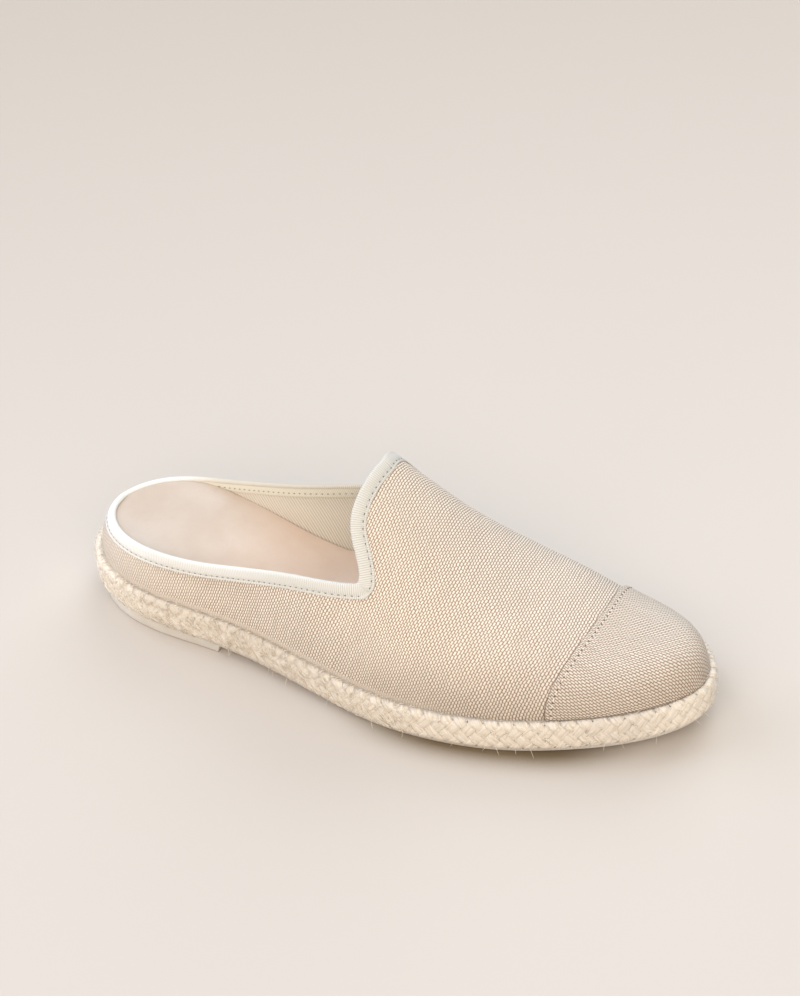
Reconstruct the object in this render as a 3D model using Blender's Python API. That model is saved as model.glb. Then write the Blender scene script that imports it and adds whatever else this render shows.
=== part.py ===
"""Slip-on canvas mule for the right foot, on a plaited jute ring and a rubber sole.

The toe points along +X, the inner side of the foot is +Y and the floor is Z = 0.
Working sizes are in millimetres and are turned into metres as each mesh is made.
"""
import math

import bmesh
import bpy
import numpy as np
from mathutils import Vector

MM = 0.001

# Main sizes of the shoe.
LENGTH = 292.0
GAP = 0.3
CANVAS_WALL = 1.3
CANVAS_INSET = 4.3
BRAID_DEPTH = 3.8
BRAID_FOOT = 2.0
BRAID_TOP = 16.0
FEATHER_RISE = 16.4
SKIRT_DROP = 8.0

# Rubber sole.
LIP_INSET = 2.5
LIP_HEIGHT = 1.7
LIP_BEVEL = 0.5
CORE_INSET = 6.1
CORE_RISE = 13.0
BREAST_X = 79.0
BREAST_RUN = 1.2
SLOT_X = 84.0
SLOT_WIDTH = 4.0
SLOT_DEPTH = 1.4
SLOT_MARGIN = 7.0
SLOT_TOOL_HEIGHT = 6.0

# Plaited ring: strips raised as lozenges.
BRAID_COLUMNS = 172
BRAID_LEVELS = 6
BRAID_RELIEF = 0.7
BRAID_ROUNDING = 1.5
BRAID_ROUNDING_POWER = 2.2

# Toe cap: a second layer, with the canvas below it sunk a little to make room.
CAP_THICKNESS = 0.9
CAP_GAP = 0.4
CAP_SINK = 0.6
CAP_BLEND = 18.0
CAP_SINK_START = 3.0

# Ribbon binding: how far it reaches outside, and inside at the heel and at the throat.
RIBBON = 0.6
RIBBON_GAP = 0.55
RIBBON_OUTSIDE = 6.2
RIBBON_INSIDE_HEEL = 2.4
RIBBON_INSIDE_THROAT = 5.6
RIBBON_WIDENS_FROM = 55.0
RIBBON_WIDENS_TO = 105.0
RIBBON_SHOULDER = 0.1
RIBBON_CROWN = 0.45

# Opening's edge: corner between side and throat, as a rise angle on each side.
CORNER_RISE = {"outer": 36.0, "inner": 38.5}
CORNER_ROUND = 3.4
CORNER_CLEAR = 5.1
EDGE_CROWDING = 1.45

# How finely the canvas is divided.
WALL_ROWS = 6
HEEL_STEPS = 4
SIDE_STEPS = 17
CORNER_STEPS = 5
THROAT_STEPS = 8
VAMP_STEPS = 20
CAP_COLUMNS = 20
CAP_STEPS = 13
SOLE_STEPS = 41

# Insole.
INSOLE_CLEARANCE = 0.75
INSOLE_EDGE = 1.2
INSOLE_BEVEL = 0.96
INSOLE_DISH = 1.0
INSOLE_DISH_RUN = 9.0
INSOLE_LEAST = 2.2


def natural_spline(knots, values, places):
    """Smooth curve through a short column of values."""
    knots = np.asarray(knots, float)
    values = np.asarray(values, float)
    step = np.diff(knots)
    slope = np.diff(values) / step
    count = len(knots)
    matrix = np.eye(count)
    right = np.zeros(count)
    for row in range(1, count - 1):
        matrix[row, row - 1] = step[row - 1]
        matrix[row, row] = 2.0 * (step[row - 1] + step[row])
        matrix[row, row + 1] = step[row]
        right[row] = 6.0 * (slope[row] - slope[row - 1])
    bend = np.linalg.solve(matrix, right)
    places = np.asarray(places, float)
    cell = np.clip(np.searchsorted(knots, places) - 1, 0, count - 2)
    ahead = places - knots[cell]
    behind = knots[cell + 1] - places
    width = step[cell]
    curve = bend[cell] * behind ** 3 / (6.0 * width)
    curve = curve + bend[cell + 1] * ahead ** 3 / (6.0 * width)
    curve = curve + (values[cell] / width - bend[cell] * width / 6.0) * behind
    curve = curve + (values[cell + 1] / width - bend[cell + 1] * width / 6.0) * ahead
    return curve


def steady_spline(knots, values, places):
    """Smooth curve through a short column of values that never overshoots them."""
    knots = np.asarray(knots, float)
    values = np.asarray(values, float)
    step = np.diff(knots)
    slope = np.diff(values) / step
    lean = np.zeros(len(knots))
    lean[0] = slope[0]
    lean[-1] = slope[-1]
    for row in range(1, len(knots) - 1):
        before = slope[row - 1]
        after = slope[row]
        if before * after > 0.0:
            lean[row] = 2.0 * before * after / (before + after)
    places = np.clip(np.asarray(places, float), knots[0], knots[-1])
    cell = np.clip(np.searchsorted(knots, places) - 1, 0, len(knots) - 2)
    width = step[cell]
    share = (places - knots[cell]) / width
    rest = 1.0 - share
    start = values[cell] * (1.0 + 2.0 * share) * rest ** 2
    end = values[cell + 1] * (3.0 - 2.0 * share) * share ** 2
    turn = width * share * rest * (lean[cell] * rest - lean[cell + 1] * share)
    return start + end + turn


class Table:
    """Rows of named columns, read smoothly along the first column."""

    def __init__(self, names, rows, steady=False):
        columns = np.array(rows, float).T
        self.columns = dict(zip(names, columns))
        self.places = columns[0]
        self.curve = steady_spline if steady else natural_spline

    def read(self, name, place):
        return self.curve(self.places, self.columns[name], place)


# Outline of the ring seen from above: reach to each side at each section angle.
OUTLINE = Table(("angle", "outer", "inner"), (
    (0.0, 50.0, 63.0),
    (22.5, 55.0, 65.0),
    (45.0, 49.6, 52.2),
    (67.5, 42.4, 33.4),
    (90.0, 51.3, 35.9),
    (112.5, 56.5, 51.6),
    (135.0, 54.7, 57.6),
    (157.5, 52.8, 60.5),
    (180.0, 50.0, 55.8),
))

# Height of the sole's lip above the floor: heel lift, arch, ball and toe spring.
UNDERSIDE = Table(("x", "z"), (
    (0.0, 6.4),
    (88.0, 3.4),
    (131.0, 2.7),
    (175.0, 0.0),
    (205.0, 0.0),
    (248.0, 2.6),
    (292.0, 7.6),
), steady=True)

# Swell of the last at each section angle: its height is this times the angle's sine.
LAST_HEIGHT = Table(("angle", "swell"), (
    (0.0, 61.0),
    (20.0, 59.5),
    (45.0, 60.5),
    (70.0, 85.8),
    (90.0, 80.8),
    (105.0, 53.7),
    (120.0, 35.8),
    (135.0, 26.8),
    (150.0, 32.5),
    (165.0, 47.9),
    (180.0, 68.0),
))

# Shape of each cross-section of the last: roundness, and place of its ridge as a share
# of the width, counted from the outer side.
LAST_SHAPE = Table(("x", "roundness", "ridge"), (
    (0.0, 2.00, 0.50),
    (60.0, 2.00, 0.48),
    (150.0, 2.00, 0.60),
    (210.0, 2.28, 0.535),
    (255.0, 2.48, 0.53),
    (278.0, 2.25, 0.51),
    (292.0, 2.00, 0.50),
), steady=True)

# Height of the opening's edge above the floor along each side.
TOPLINE = Table(("x", "outer", "inner"), (
    (0.0, 40.6, 40.6),
    (25.0, 41.1, 41.1),
    (50.0, 42.6, 42.2),
    (75.0, 45.0, 47.6),
    (100.0, 50.6, 54.4),
    (125.0, 57.6, 60.4),
    (158.0, 62.6, 65.4),
))

# Front edge of the opening: how far forward it lies at each rise angle of the section.
THROAT = Table(("rise", "x"), (
    (34.0, 157.6),
    (44.0, 155.0),
    (52.0, 150.2),
    (62.0, 148.4),
    (75.0, 149.3),
    (90.0, 150.4),
))

# Walking surface of the insole, from the raised heel seat to the toe.
FOOTBED = Table(("x", "z"), (
    (0.0, 37.0),
    (38.0, 35.9),
    (60.0, 32.8),
    (85.0, 28.8),
    (105.0, 24.6),
    (125.0, 20.8),
    (150.0, 18.6),
    (190.0, 17.6),
    (235.0, 19.6),
    (292.0, 25.6),
), steady=True)

# Curved line of the toe cap's rear edge: x = place + slope * y - bow * (y - centre)^2.
CAP_PLACE = 242.0
CAP_SLOPE = 0.044
CAP_BOW = 0.0025
CAP_CENTRE = 5.0

MATERIALS = {
    "Rubber_offwhite": ((0.62, 0.57, 0.48, 1.0), 0.55),
    "Jute_straw": ((0.62, 0.50, 0.33, 1.0), 0.85),
    "Canvas_beige": ((0.44, 0.33, 0.22, 1.0), 0.88),
    "Ribbon_ivory": ((0.74, 0.68, 0.55, 1.0), 0.75),
    "Leather_rose": ((0.56, 0.40, 0.29, 1.0), 0.60),
}


def outline_sides(places, inset):
    """Points along the outer and inner side of the plan outline, moved inward."""
    angle = np.degrees(places)
    run = LENGTH / 2.0 * (1.0 - np.cos(places))
    outer = np.stack([run, -np.sin(places) * OUTLINE.read("outer", angle)], -1)
    inner = np.stack([run, np.sin(places) * OUTLINE.read("inner", angle)], -1)
    loop = np.concatenate([outer, inner[::-1][1:-1]])
    along = np.roll(loop, -1, 0) - np.roll(loop, 1, 0)
    along = along / np.linalg.norm(along, axis=1)[:, None]
    loop = loop + inset * np.stack([-along[:, 1], along[:, 0]], -1)
    count = len(places)
    back = loop[count - 1:]
    return loop[:count], np.concatenate([loop[:1], back[::-1]])


FINE = np.linspace(0.0, math.pi, 241)
BASE_OUTER, BASE_INNER = outline_sides(FINE, CANVAS_INSET)
HEEL_END = BASE_OUTER[0, 0]
TOE_END = BASE_OUTER[-1, 0]


def section_place(angle):
    """Distance from the heel of a section of the last."""
    return HEEL_END + (TOE_END - HEEL_END) * (1.0 - np.cos(angle)) / 2.0


def section_angle(place):
    """Section angle of the last at a distance from the heel."""
    share = (np.asarray(place, float) - HEEL_END) / (TOE_END - HEEL_END)
    return np.arccos(np.clip(1.0 - 2.0 * share, -1.0, 1.0))


def feather_height(place):
    """Height at which the canvas leaves the plaited ring."""
    return UNDERSIDE.read("z", place) + FEATHER_RISE


def section_rise(angle):
    """Height of the last's ridge above the feather line."""
    return LAST_HEIGHT.read("swell", np.degrees(angle)) * np.sin(angle)


def last_point(angle, rise, drop=0.0):
    """Point of the last: rise runs from 0 at the outer edge to pi at the inner edge."""
    angle = np.asarray(angle, float)
    rise = np.asarray(rise, float)
    place = section_place(angle)
    left = np.interp(place, BASE_OUTER[:, 0], BASE_OUTER[:, 1])
    right = np.interp(place, BASE_INNER[:, 0], BASE_INNER[:, 1])
    ridge = left + LAST_SHAPE.read("ridge", place) * (right - left)
    power = 2.0 / LAST_SHAPE.read("roundness", place)
    level = np.cos(rise)
    reach = np.where(level > 0.0, ridge - left, right - ridge)
    across = ridge - np.sign(level) * reach * np.abs(level) ** power
    lift = np.clip(np.sin(rise), 0.0, 1.0) ** power
    height = feather_height(place) + section_rise(angle) * lift - drop
    return np.stack(np.broadcast_arrays(place, across, height), -1)


def last_normal(angle, rise):
    """Outward direction of the last's surface."""
    angle = np.asarray(angle, float)
    rise = np.asarray(rise, float)
    step = 0.012
    inside = np.clip(angle, 3.0 * step, math.pi - 3.0 * step)
    level = np.clip(rise, 2.0 * step, math.pi - 2.0 * step)
    along = last_point(inside + step, level) - last_point(inside - step, level)
    upward = last_point(inside, level + step) - last_point(inside, level - step)
    normal = np.cross(along, upward)
    normal = normal / np.linalg.norm(normal, axis=-1)[..., None]
    edge = np.minimum(rise, math.pi - rise) < 2.0 * step
    normal[..., 2] = np.where(edge, 0.0, normal[..., 2])
    ends = np.sin(angle) < 0.001
    normal[..., 0] = np.where(ends, -np.sign(np.cos(angle)), normal[..., 0])
    normal[..., 1] = np.where(ends, 0.0, normal[..., 1])
    normal[..., 2] = np.where(ends, 0.0, normal[..., 2])
    return normal / np.linalg.norm(normal, axis=-1)[..., None]


def last_shell(grid, offset):
    """Points at an offset from the last; grid rows hold angle, rise and drop."""
    grid = np.asarray(grid, float)
    points = last_point(grid[..., 0], grid[..., 1], grid[..., 2])
    distance = np.asarray(offset, float)
    if distance.ndim:
        distance = distance[..., None]
    return points + distance * last_normal(grid[..., 0], grid[..., 1])


def rise_for_height(angle, height):
    """Rise angle at which the outer side of a section reaches a height."""
    place = section_place(angle)
    share = (height - feather_height(place)) / section_rise(angle)
    power = LAST_SHAPE.read("roundness", place) / 2.0
    return np.arcsin(np.clip(share, 0.0, 1.0) ** power)


def back_angle():
    """Section angle where the opening's edge crosses the ridge at the heel."""
    angles = np.linspace(0.05, 1.2, 2400)
    places = section_place(angles)
    crest = feather_height(places) + section_rise(angles)
    above = crest >= TOPLINE.read("outer", places)
    return float(angles[np.argmax(above)])


BACK = back_angle()


def corner_curve(first, middle, last, count):
    """Points of a soft corner between two edges."""
    points = []
    for step in range(count):
        share = step / (count - 1.0)
        rest = 1.0 - share
        blend = rest ** 2 * first + 2.0 * rest * share * middle + share ** 2 * last
        points.append(blend)
    return points


def edge_path(side):
    """Edge of the opening on one side, from the heel's back to the ridge.

    Gives rows of section angle and rise angle, and the index of the corner.
    """
    corner_x = float(THROAT.read("x", CORNER_RISE[side] - 1.0))
    corner_angle = float(section_angle(corner_x))
    stop = float(section_angle(corner_x - CORNER_ROUND))
    shares = (np.arange(SIDE_STEPS) / (SIDE_STEPS - 1.0)) ** EDGE_CROWDING
    angles = BACK + (stop - BACK) * shares
    heights = TOPLINE.read(side, section_place(angles))
    rises = rise_for_height(angles, heights)
    rises[0] = math.pi / 2.0
    rows = [np.array(pair) for pair in zip(angles, rises)]
    tip_height = TOPLINE.read(side, corner_x)
    tip = np.array([corner_angle, float(rise_for_height(corner_angle, tip_height))])
    start = math.degrees(tip[1]) + CORNER_CLEAR
    climb = np.linspace(start, 90.0, THROAT_STEPS)
    forward = section_angle(THROAT.read("x", climb))
    throat = [np.array(pair) for pair in zip(forward, np.radians(climb))]
    soft = corner_curve(rows[-1], tip, throat[0], CORNER_STEPS)
    path = np.array(rows[:-1] + soft + throat[1:])
    corner = SIDE_STEPS - 1 + CORNER_STEPS // 2
    if side == "inner":
        path[:, 1] = math.pi - path[:, 1]
    return path, corner


def weld(patches):
    """Join patches of grid rows into one list of rows and faces."""
    rows = []
    lookup = {}
    faces = []
    for patch in patches:
        patch = np.asarray(patch, float)
        points = last_point(patch[..., 0], patch[..., 1], patch[..., 2])
        keys = np.round(points * 500.0).astype(int)
        index = np.zeros(patch.shape[:2], int)
        for i in range(patch.shape[0]):
            for j in range(patch.shape[1]):
                key = tuple(keys[i, j])
                if key not in lookup:
                    lookup[key] = len(rows)
                    rows.append(patch[i, j])
                index[i, j] = lookup[key]
        for i in range(patch.shape[0] - 1):
            for j in range(patch.shape[1] - 1):
                ring = [index[i, j], index[i + 1, j], index[i + 1, j + 1], index[i, j + 1]]
                face = [v for k, v in enumerate(ring) if v != ring[k - 1]]
                if len(set(face)) >= 3:
                    faces.append(face)
    return np.array(rows), faces


def thick_sheet(outer, inner, faces):
    """Closed body between two matching sheets of points."""
    count = len(outer)
    used = {}
    for face in faces:
        for k in range(len(face)):
            used[(face[k - 1], face[k])] = used.get((face[k - 1], face[k]), 0) + 1
    body = [list(face) for face in faces]
    body += [[v + count for v in reversed(face)] for face in faces]
    for a, b in used:
        if (b, a) not in used:
            body.append([b, a, a + count, b + count])
    return np.concatenate([outer, inner]), body


def make_material(name):
    """Plain material with its own colour and roughness."""
    colour, roughness = MATERIALS[name]
    material = bpy.data.materials.new(name)
    material.use_nodes = True
    shader = material.node_tree.nodes["Principled BSDF"]
    shader.inputs["Base Color"].default_value = colour
    shader.inputs["Roughness"].default_value = roughness
    shader.inputs["Metallic"].default_value = 0.0
    material.diffuse_color = colour
    return material


def finish_object(name, body, material, sharp_angle):
    """Turn a bmesh into a closed, outward-facing object with its own material."""
    bmesh.ops.recalc_face_normals(body, faces=body.faces)
    mesh = bpy.data.meshes.new(name)
    body.to_mesh(mesh)
    body.free()
    mesh.shade_smooth()
    mesh.set_sharp_from_angle(angle=math.radians(sharp_angle))
    thing = bpy.data.objects.new(name, mesh)
    bpy.context.collection.objects.link(thing)
    thing.data.materials.append(make_material(material))
    return thing


def body_from_faces(points, faces):
    """Bmesh of listed points, in millimetres, and faces."""
    body = bmesh.new()
    verts = [body.verts.new(point) for point in np.asarray(points) * MM]
    for face in faces:
        body.faces.new([verts[k] for k in face])
    return body


def bridge_rings(body, rings, closed):
    """Bridge each ring of vertices to the next; a closed stack also joins last to first."""
    sides = []
    for ring in rings:
        pairs = zip(ring, ring[1:] + ring[:1])
        sides.append([body.edges.new(pair) for pair in pairs])
    steps = len(rings) if closed else len(rings) - 1
    for k in range(steps):
        both = sides[k] + sides[(k + 1) % len(rings)]
        bmesh.ops.bridge_loops(body, edges=both)


def cap_across(body, ring):
    """Close a ring round the shoe with strips from its outer to its inner side."""
    count = len(ring)
    for k in range(count // 2):
        far = (count - k) % count
        corners = [ring[k], ring[k + 1], ring[count - k - 1], ring[far]]
        face = [v for j, v in enumerate(corners) if v is not corners[j - 1]]
        body.faces.new(face)


def rings_from_loops(body, loops):
    """Vertices of a stack of loops of points in millimetres."""
    return [[body.verts.new(point) for point in np.asarray(loop) * MM] for loop in loops]


def capped_stack(loops):
    """Closed bmesh of a stack of loops, capped by strips at both ends."""
    body = bmesh.new()
    rings = rings_from_loops(body, loops)
    bridge_rings(body, rings, closed=False)
    cap_across(body, rings[0])
    cap_across(body, rings[-1])
    return body


def station_angles(extra=()):
    """Section angles of the loops round the sole, with added distances from the heel."""
    angles = list(np.linspace(0.0, math.pi, SOLE_STEPS))
    exact = [math.acos(1.0 - 2.0 * place / LENGTH) for place in extra]
    clear = 0.6 * (angles[1] - angles[0])
    kept = [a for a in angles if all(abs(a - b) > clear for b in exact)]
    return np.array(sorted(kept + exact))


def plan_loop(angles, inset, rise, floored=None):
    """Closed loop of the outline at an inset, at a rise above the underside.

    Where floored is true the loop is measured from the floor instead.
    """
    outer, inner = outline_sides(angles, inset)
    loop = np.concatenate([outer, inner[::-1][1:-1]])
    height = UNDERSIDE.read("z", loop[:, 0])
    if floored is not None:
        height = np.where(np.concatenate([floored, floored[::-1][1:-1]]), 0.0, height)
    return np.concatenate([loop, (height + rise)[:, None]], 1)


def make_outsole():
    """Rubber sole: lip under the ring, heel block, arch, toe spring and the core inside."""
    angles = station_angles((BREAST_X, BREAST_X + BREAST_RUN))
    places = LENGTH / 2.0 * (1.0 - np.cos(angles))
    heel = places <= BREAST_X + 0.01
    loops = [
        plan_loop(angles, LIP_INSET + LIP_BEVEL, 0.0, heel),
        plan_loop(angles, LIP_INSET, LIP_BEVEL, heel),
        plan_loop(angles, LIP_INSET, LIP_HEIGHT),
        plan_loop(angles, CORE_INSET, LIP_HEIGHT),
        plan_loop(angles, CORE_INSET, CORE_RISE),
    ]
    sole = finish_object("outsole", capped_stack(loops), "Rubber_offwhite", 32.0)
    cut_slot(sole)
    return sole


def cut_slot(sole):
    """Cross slot in the waist of the sole just ahead of the heel block."""
    near = np.interp(SLOT_X, BASE_OUTER[:, 0], BASE_OUTER[:, 1]) + SLOT_MARGIN
    far = np.interp(SLOT_X, BASE_INNER[:, 0], BASE_INNER[:, 1]) - SLOT_MARGIN
    floor = float(UNDERSIDE.read("z", SLOT_X))
    tool = bmesh.new()
    bmesh.ops.create_cube(tool, size=1.0)
    size = Vector((SLOT_WIDTH, far - near, SLOT_TOOL_HEIGHT)) * MM
    middle = floor + SLOT_DEPTH - SLOT_TOOL_HEIGHT / 2.0
    bmesh.ops.scale(tool, vec=size, verts=tool.verts)
    place = Vector((SLOT_X, (far + near) / 2.0, middle)) * MM
    bmesh.ops.translate(tool, vec=place, verts=tool.verts)
    mesh = bpy.data.meshes.new("slot_cutter")
    tool.to_mesh(mesh)
    tool.free()
    cutter = bpy.data.objects.new("slot_cutter", mesh)
    bpy.context.collection.objects.link(cutter)
    cutter.hide_render = True
    cutter.display_type = "WIRE"
    modifier = sole.modifiers.new("slot", "BOOLEAN")
    modifier.operation = "DIFFERENCE"
    modifier.solver = "EXACT"
    modifier.object = cutter


def even_loop_angles(count):
    """Side and section angle of points spaced evenly along the ring's outline."""
    outer, inner = outline_sides(FINE, 0.0)
    loop = np.concatenate([outer, inner[::-1][1:]])
    runs = np.concatenate([FINE, 2.0 * math.pi - FINE[::-1][1:]])
    length = np.concatenate([[0.0], np.cumsum(np.linalg.norm(np.diff(loop, axis=0), axis=1))])
    wanted = np.arange(count) / count * length[-1]
    return np.interp(wanted, length, runs)


def ring_point(run, inset, height):
    """Point of the plaited ring at a run round the shoe."""
    step = 0.01
    spots = []
    for place in (run - step, run, run + step):
        place = np.mod(place, 2.0 * math.pi)
        side = place > math.pi
        angle = np.where(side, 2.0 * math.pi - place, place)
        degrees = np.degrees(angle)
        reach = np.where(side, OUTLINE.read("inner", degrees), -OUTLINE.read("outer", degrees))
        x = LENGTH / 2.0 * (1.0 - np.cos(angle))
        spots.append(np.stack([x, np.sin(angle) * reach], -1))
    along = spots[2] - spots[0]
    along = along / np.linalg.norm(along, axis=-1)[..., None]
    plan = spots[1] + inset[..., None] * np.stack([-along[..., 1], along[..., 0]], -1)
    lip = UNDERSIDE.read("z", plan[..., 0])
    return np.concatenate([plan, (lip + height)[..., None]], -1)


def make_braid():
    """Ring of plaited jute standing on the sole's lip, its strips raised as lozenges."""
    runs = even_loop_angles(BRAID_COLUMNS)
    levels = BRAID_LEVELS + 1
    tall = BRAID_TOP - BRAID_FOOT
    columns = []
    for level in range(levels):
        share = level / BRAID_LEVELS
        bow = BRAID_ROUNDING * abs(2.0 * share - 1.0) ** BRAID_ROUNDING_POWER
        high = (np.arange(BRAID_COLUMNS) + level) % 2 == 0
        sunk = np.where(high, 0.0, BRAID_RELIEF)
        inset = bow + sunk
        height = np.full(BRAID_COLUMNS, BRAID_FOOT + tall * share)
        columns.append(ring_point(runs, inset, height))
    back = np.full(BRAID_COLUMNS, BRAID_DEPTH)
    columns.append(ring_point(runs, back, np.full(BRAID_COLUMNS, BRAID_TOP)))
    columns.append(ring_point(runs, back, np.full(BRAID_COLUMNS, BRAID_FOOT)))
    points = np.concatenate(columns)
    faces = []
    total = len(columns)
    for level in range(total):
        low = level * BRAID_COLUMNS
        high = ((level + 1) % total) * BRAID_COLUMNS
        for k in range(BRAID_COLUMNS):
            n = (k + 1) % BRAID_COLUMNS
            if level < BRAID_LEVELS and (k + level) % 2 == 0:
                faces.append([low + k, low + n, high + k])
                faces.append([low + n, high + n, high + k])
            elif level < BRAID_LEVELS:
                faces.append([low + k, low + n, high + n])
                faces.append([low + k, high + n, high + k])
            else:
                faces.append([low + k, low + n, high + n, high + k])
    return finish_object("jute_braid", body_from_faces(points, faces), "Jute_straw", 20.0)


def add_drop(pairs, drop=0.0):
    """Grid rows of angle, rise and drop from rows of angle and rise."""
    pairs = np.asarray(pairs, float)
    tail = np.full(pairs.shape[:-1] + (1,), float(drop))
    return np.concatenate([pairs, tail], -1)


def wall_patch(path, side):
    """Grid of one side wall, from the feather line to the opening's edge."""
    foot = 0.0 if side == "outer" else math.pi
    grid = []
    for angle, rise in path:
        climb = [k / WALL_ROWS for k in range(WALL_ROWS + 1)]
        grid.append([(angle, foot + (rise - foot) * share) for share in climb])
    return add_drop(grid)


def vamp_starts():
    """Start of each lengthwise line of the vamp, from the outer to the inner edge."""
    starts = []
    for side in ("outer", "inner"):
        path, corner = edge_path(side)
        foot = 0.0 if side == "outer" else math.pi
        tip = path[corner]
        climb = [k / WALL_ROWS for k in range(WALL_ROWS)]
        below = [(tip[0], foot + (tip[1] - foot) * share) for share in climb]
        starts.append(below + [tuple(pair) for pair in path[corner:]])
    return np.array(starts[0] + starts[1][::-1][1:])


def vamp_grid():
    """Grid of angle and rise over the vamp, from the throat to the toe."""
    starts = vamp_starts()
    even = math.pi * np.arange(len(starts)) / (len(starts) - 1.0)
    grid = []
    for k in range(VAMP_STEPS + 1):
        share = k / VAMP_STEPS
        settle = min(1.0, share * 3.0)
        angle = starts[:, 0] + (math.pi - starts[:, 0]) * share
        rise = starts[:, 1] + (even - starts[:, 1]) * settle
        grid.append(np.stack([angle, rise], -1))
    return np.array(grid)


def upper_offset(grid):
    """How far the canvas lies from the last: it dips a little under the toe cap."""
    points = last_point(grid[..., 0], grid[..., 1])
    ahead = points[..., 0] - cap_line(points[..., 1])
    share = np.clip((ahead + CAP_BLEND) / CAP_BLEND, 0.0, 1.0)
    above = np.clip(np.sin(grid[..., 1]) * CAP_SINK_START, 0.0, 1.0) * (grid[..., 2] <= 0.0)
    return -CAP_SINK * above * share * share * (3.0 - 2.0 * share)


def cap_line(across):
    """Distance from the heel of the toe cap's rear edge."""
    return CAP_PLACE + CAP_SLOPE * across - CAP_BOW * (across - CAP_CENTRE) ** 2


def make_upper():
    """Hollow canvas upper, open at the heel and throat and open underneath."""
    patches = []
    paths = {}
    for side in ("outer", "inner"):
        path, corner = edge_path(side)
        paths[side] = path[:corner + 1]
        patches.append(wall_patch(path[:corner + 1], side))
    heel_angles = [BACK * k / HEEL_STEPS for k in range(HEEL_STEPS + 1)]
    rises = [math.pi / 2.0 * k / WALL_ROWS for k in range(2 * WALL_ROWS + 1)]
    back = [[(angle, rise) for rise in rises] for angle in heel_angles]
    patches.append(add_drop(back))
    vamp = vamp_grid()
    patches.append(add_drop(vamp))
    for side, foot, column in (("outer", 0.0, 0), ("inner", math.pi, -1)):
        run = heel_angles[:-1] + list(paths[side][:, 0]) + list(vamp[1:, column, 0])
        skirt = [[(a, foot, 0.0), (a, foot, SKIRT_DROP)] for a in run]
        patches.append(np.array(skirt))
    grid, faces = weld(patches)
    faces = face_outward(grid, faces)
    offset = upper_offset(grid)
    outer = last_shell(grid, offset)
    inner = last_shell(grid, offset - CANVAS_WALL)
    points, body = thick_sheet(outer, inner, faces)
    return finish_object("upper", body_from_faces(points, body), "Canvas_beige", 50.0)


def face_outward(grid, faces):
    """Turn every face so that its corners run the same way round the last."""
    points = last_point(grid[:, 0], grid[:, 1], grid[:, 2])
    normals = last_normal(grid[:, 0], grid[:, 1])
    turned = []
    for face in faces:
        corners = points[face]
        area = np.zeros(3)
        for k in range(len(face)):
            area += np.cross(corners[k - 1] - corners[0], corners[k] - corners[0])
        outward = normals[face].mean(0)
        turned.append(face if np.dot(area, outward) > 0.0 else face[::-1])
    return turned


def make_toe_cap():
    """Second layer of canvas over the toe, with its rear edge standing as a small step."""
    rises = math.pi * np.arange(CAP_COLUMNS + 1) / CAP_COLUMNS
    start = np.full(CAP_COLUMNS + 1, float(section_angle(CAP_PLACE)))
    for _ in range(12):
        points = last_point(start, rises)
        start = section_angle(cap_line(points[:, 1]))
    grid = []
    for k in range(CAP_STEPS + 1):
        angle = start + (math.pi - start) * k / CAP_STEPS
        grid.append(np.stack([angle, rises], -1))
    grid, faces = weld([add_drop(np.array(grid))])
    faces = face_outward(grid, faces)
    sunk = upper_offset(grid)
    inner = last_shell(grid, sunk + CAP_GAP)
    outer = last_shell(grid, sunk + CAP_GAP + CAP_THICKNESS)
    points, body = thick_sheet(outer, inner, faces)
    return finish_object("toe_cap", body_from_faces(points, body), "Canvas_beige", 50.0)


def walk(angle, rise, heading, distance, steps=4):
    """Follow the last's surface for a distance in a heading, all points at once."""
    angle = angle.copy()
    rise = rise.copy()
    heading = heading.copy()
    small = 0.004
    for _ in range(steps):
        safe = np.clip(angle, 0.03, math.pi - 0.03)
        along = (last_point(safe + small, rise) - last_point(safe - small, rise)) / (2.0 * small)
        upward = (last_point(safe, rise + small) - last_point(safe, rise - small)) / (2.0 * small)
        normal = np.cross(along, upward)
        normal = normal / np.linalg.norm(normal, axis=-1)[:, None]
        heading = heading - normal * (heading * normal).sum(-1)[:, None]
        heading = heading / np.linalg.norm(heading, axis=-1)[:, None]
        for k in range(len(angle)):
            basis = np.stack([along[k], upward[k]], -1)
            move = np.linalg.lstsq(basis, heading[k] * distance[k] / steps, rcond=None)[0]
            angle[k] += move[0]
            rise[k] += move[1]
    return angle, rise


def binding_path():
    """Whole edge of the opening: outer side, over the ridge, inner side, round the heel."""
    outer, _ = edge_path("outer")
    inner, _ = edge_path("inner")
    return np.concatenate([outer, inner[::-1][1:-1]])


def material_heading(path):
    """Direction along the surface from the opening's edge into the canvas."""
    points = last_point(path[:, 0], path[:, 1])
    normals = last_normal(path[:, 0], path[:, 1])
    along = np.roll(points, -1, 0) - np.roll(points, 1, 0)
    along = along / np.linalg.norm(along, axis=1)[:, None]
    heading = np.cross(along, normals)
    heading = heading / np.linalg.norm(heading, axis=1)[:, None]
    return points, normals, heading


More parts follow.
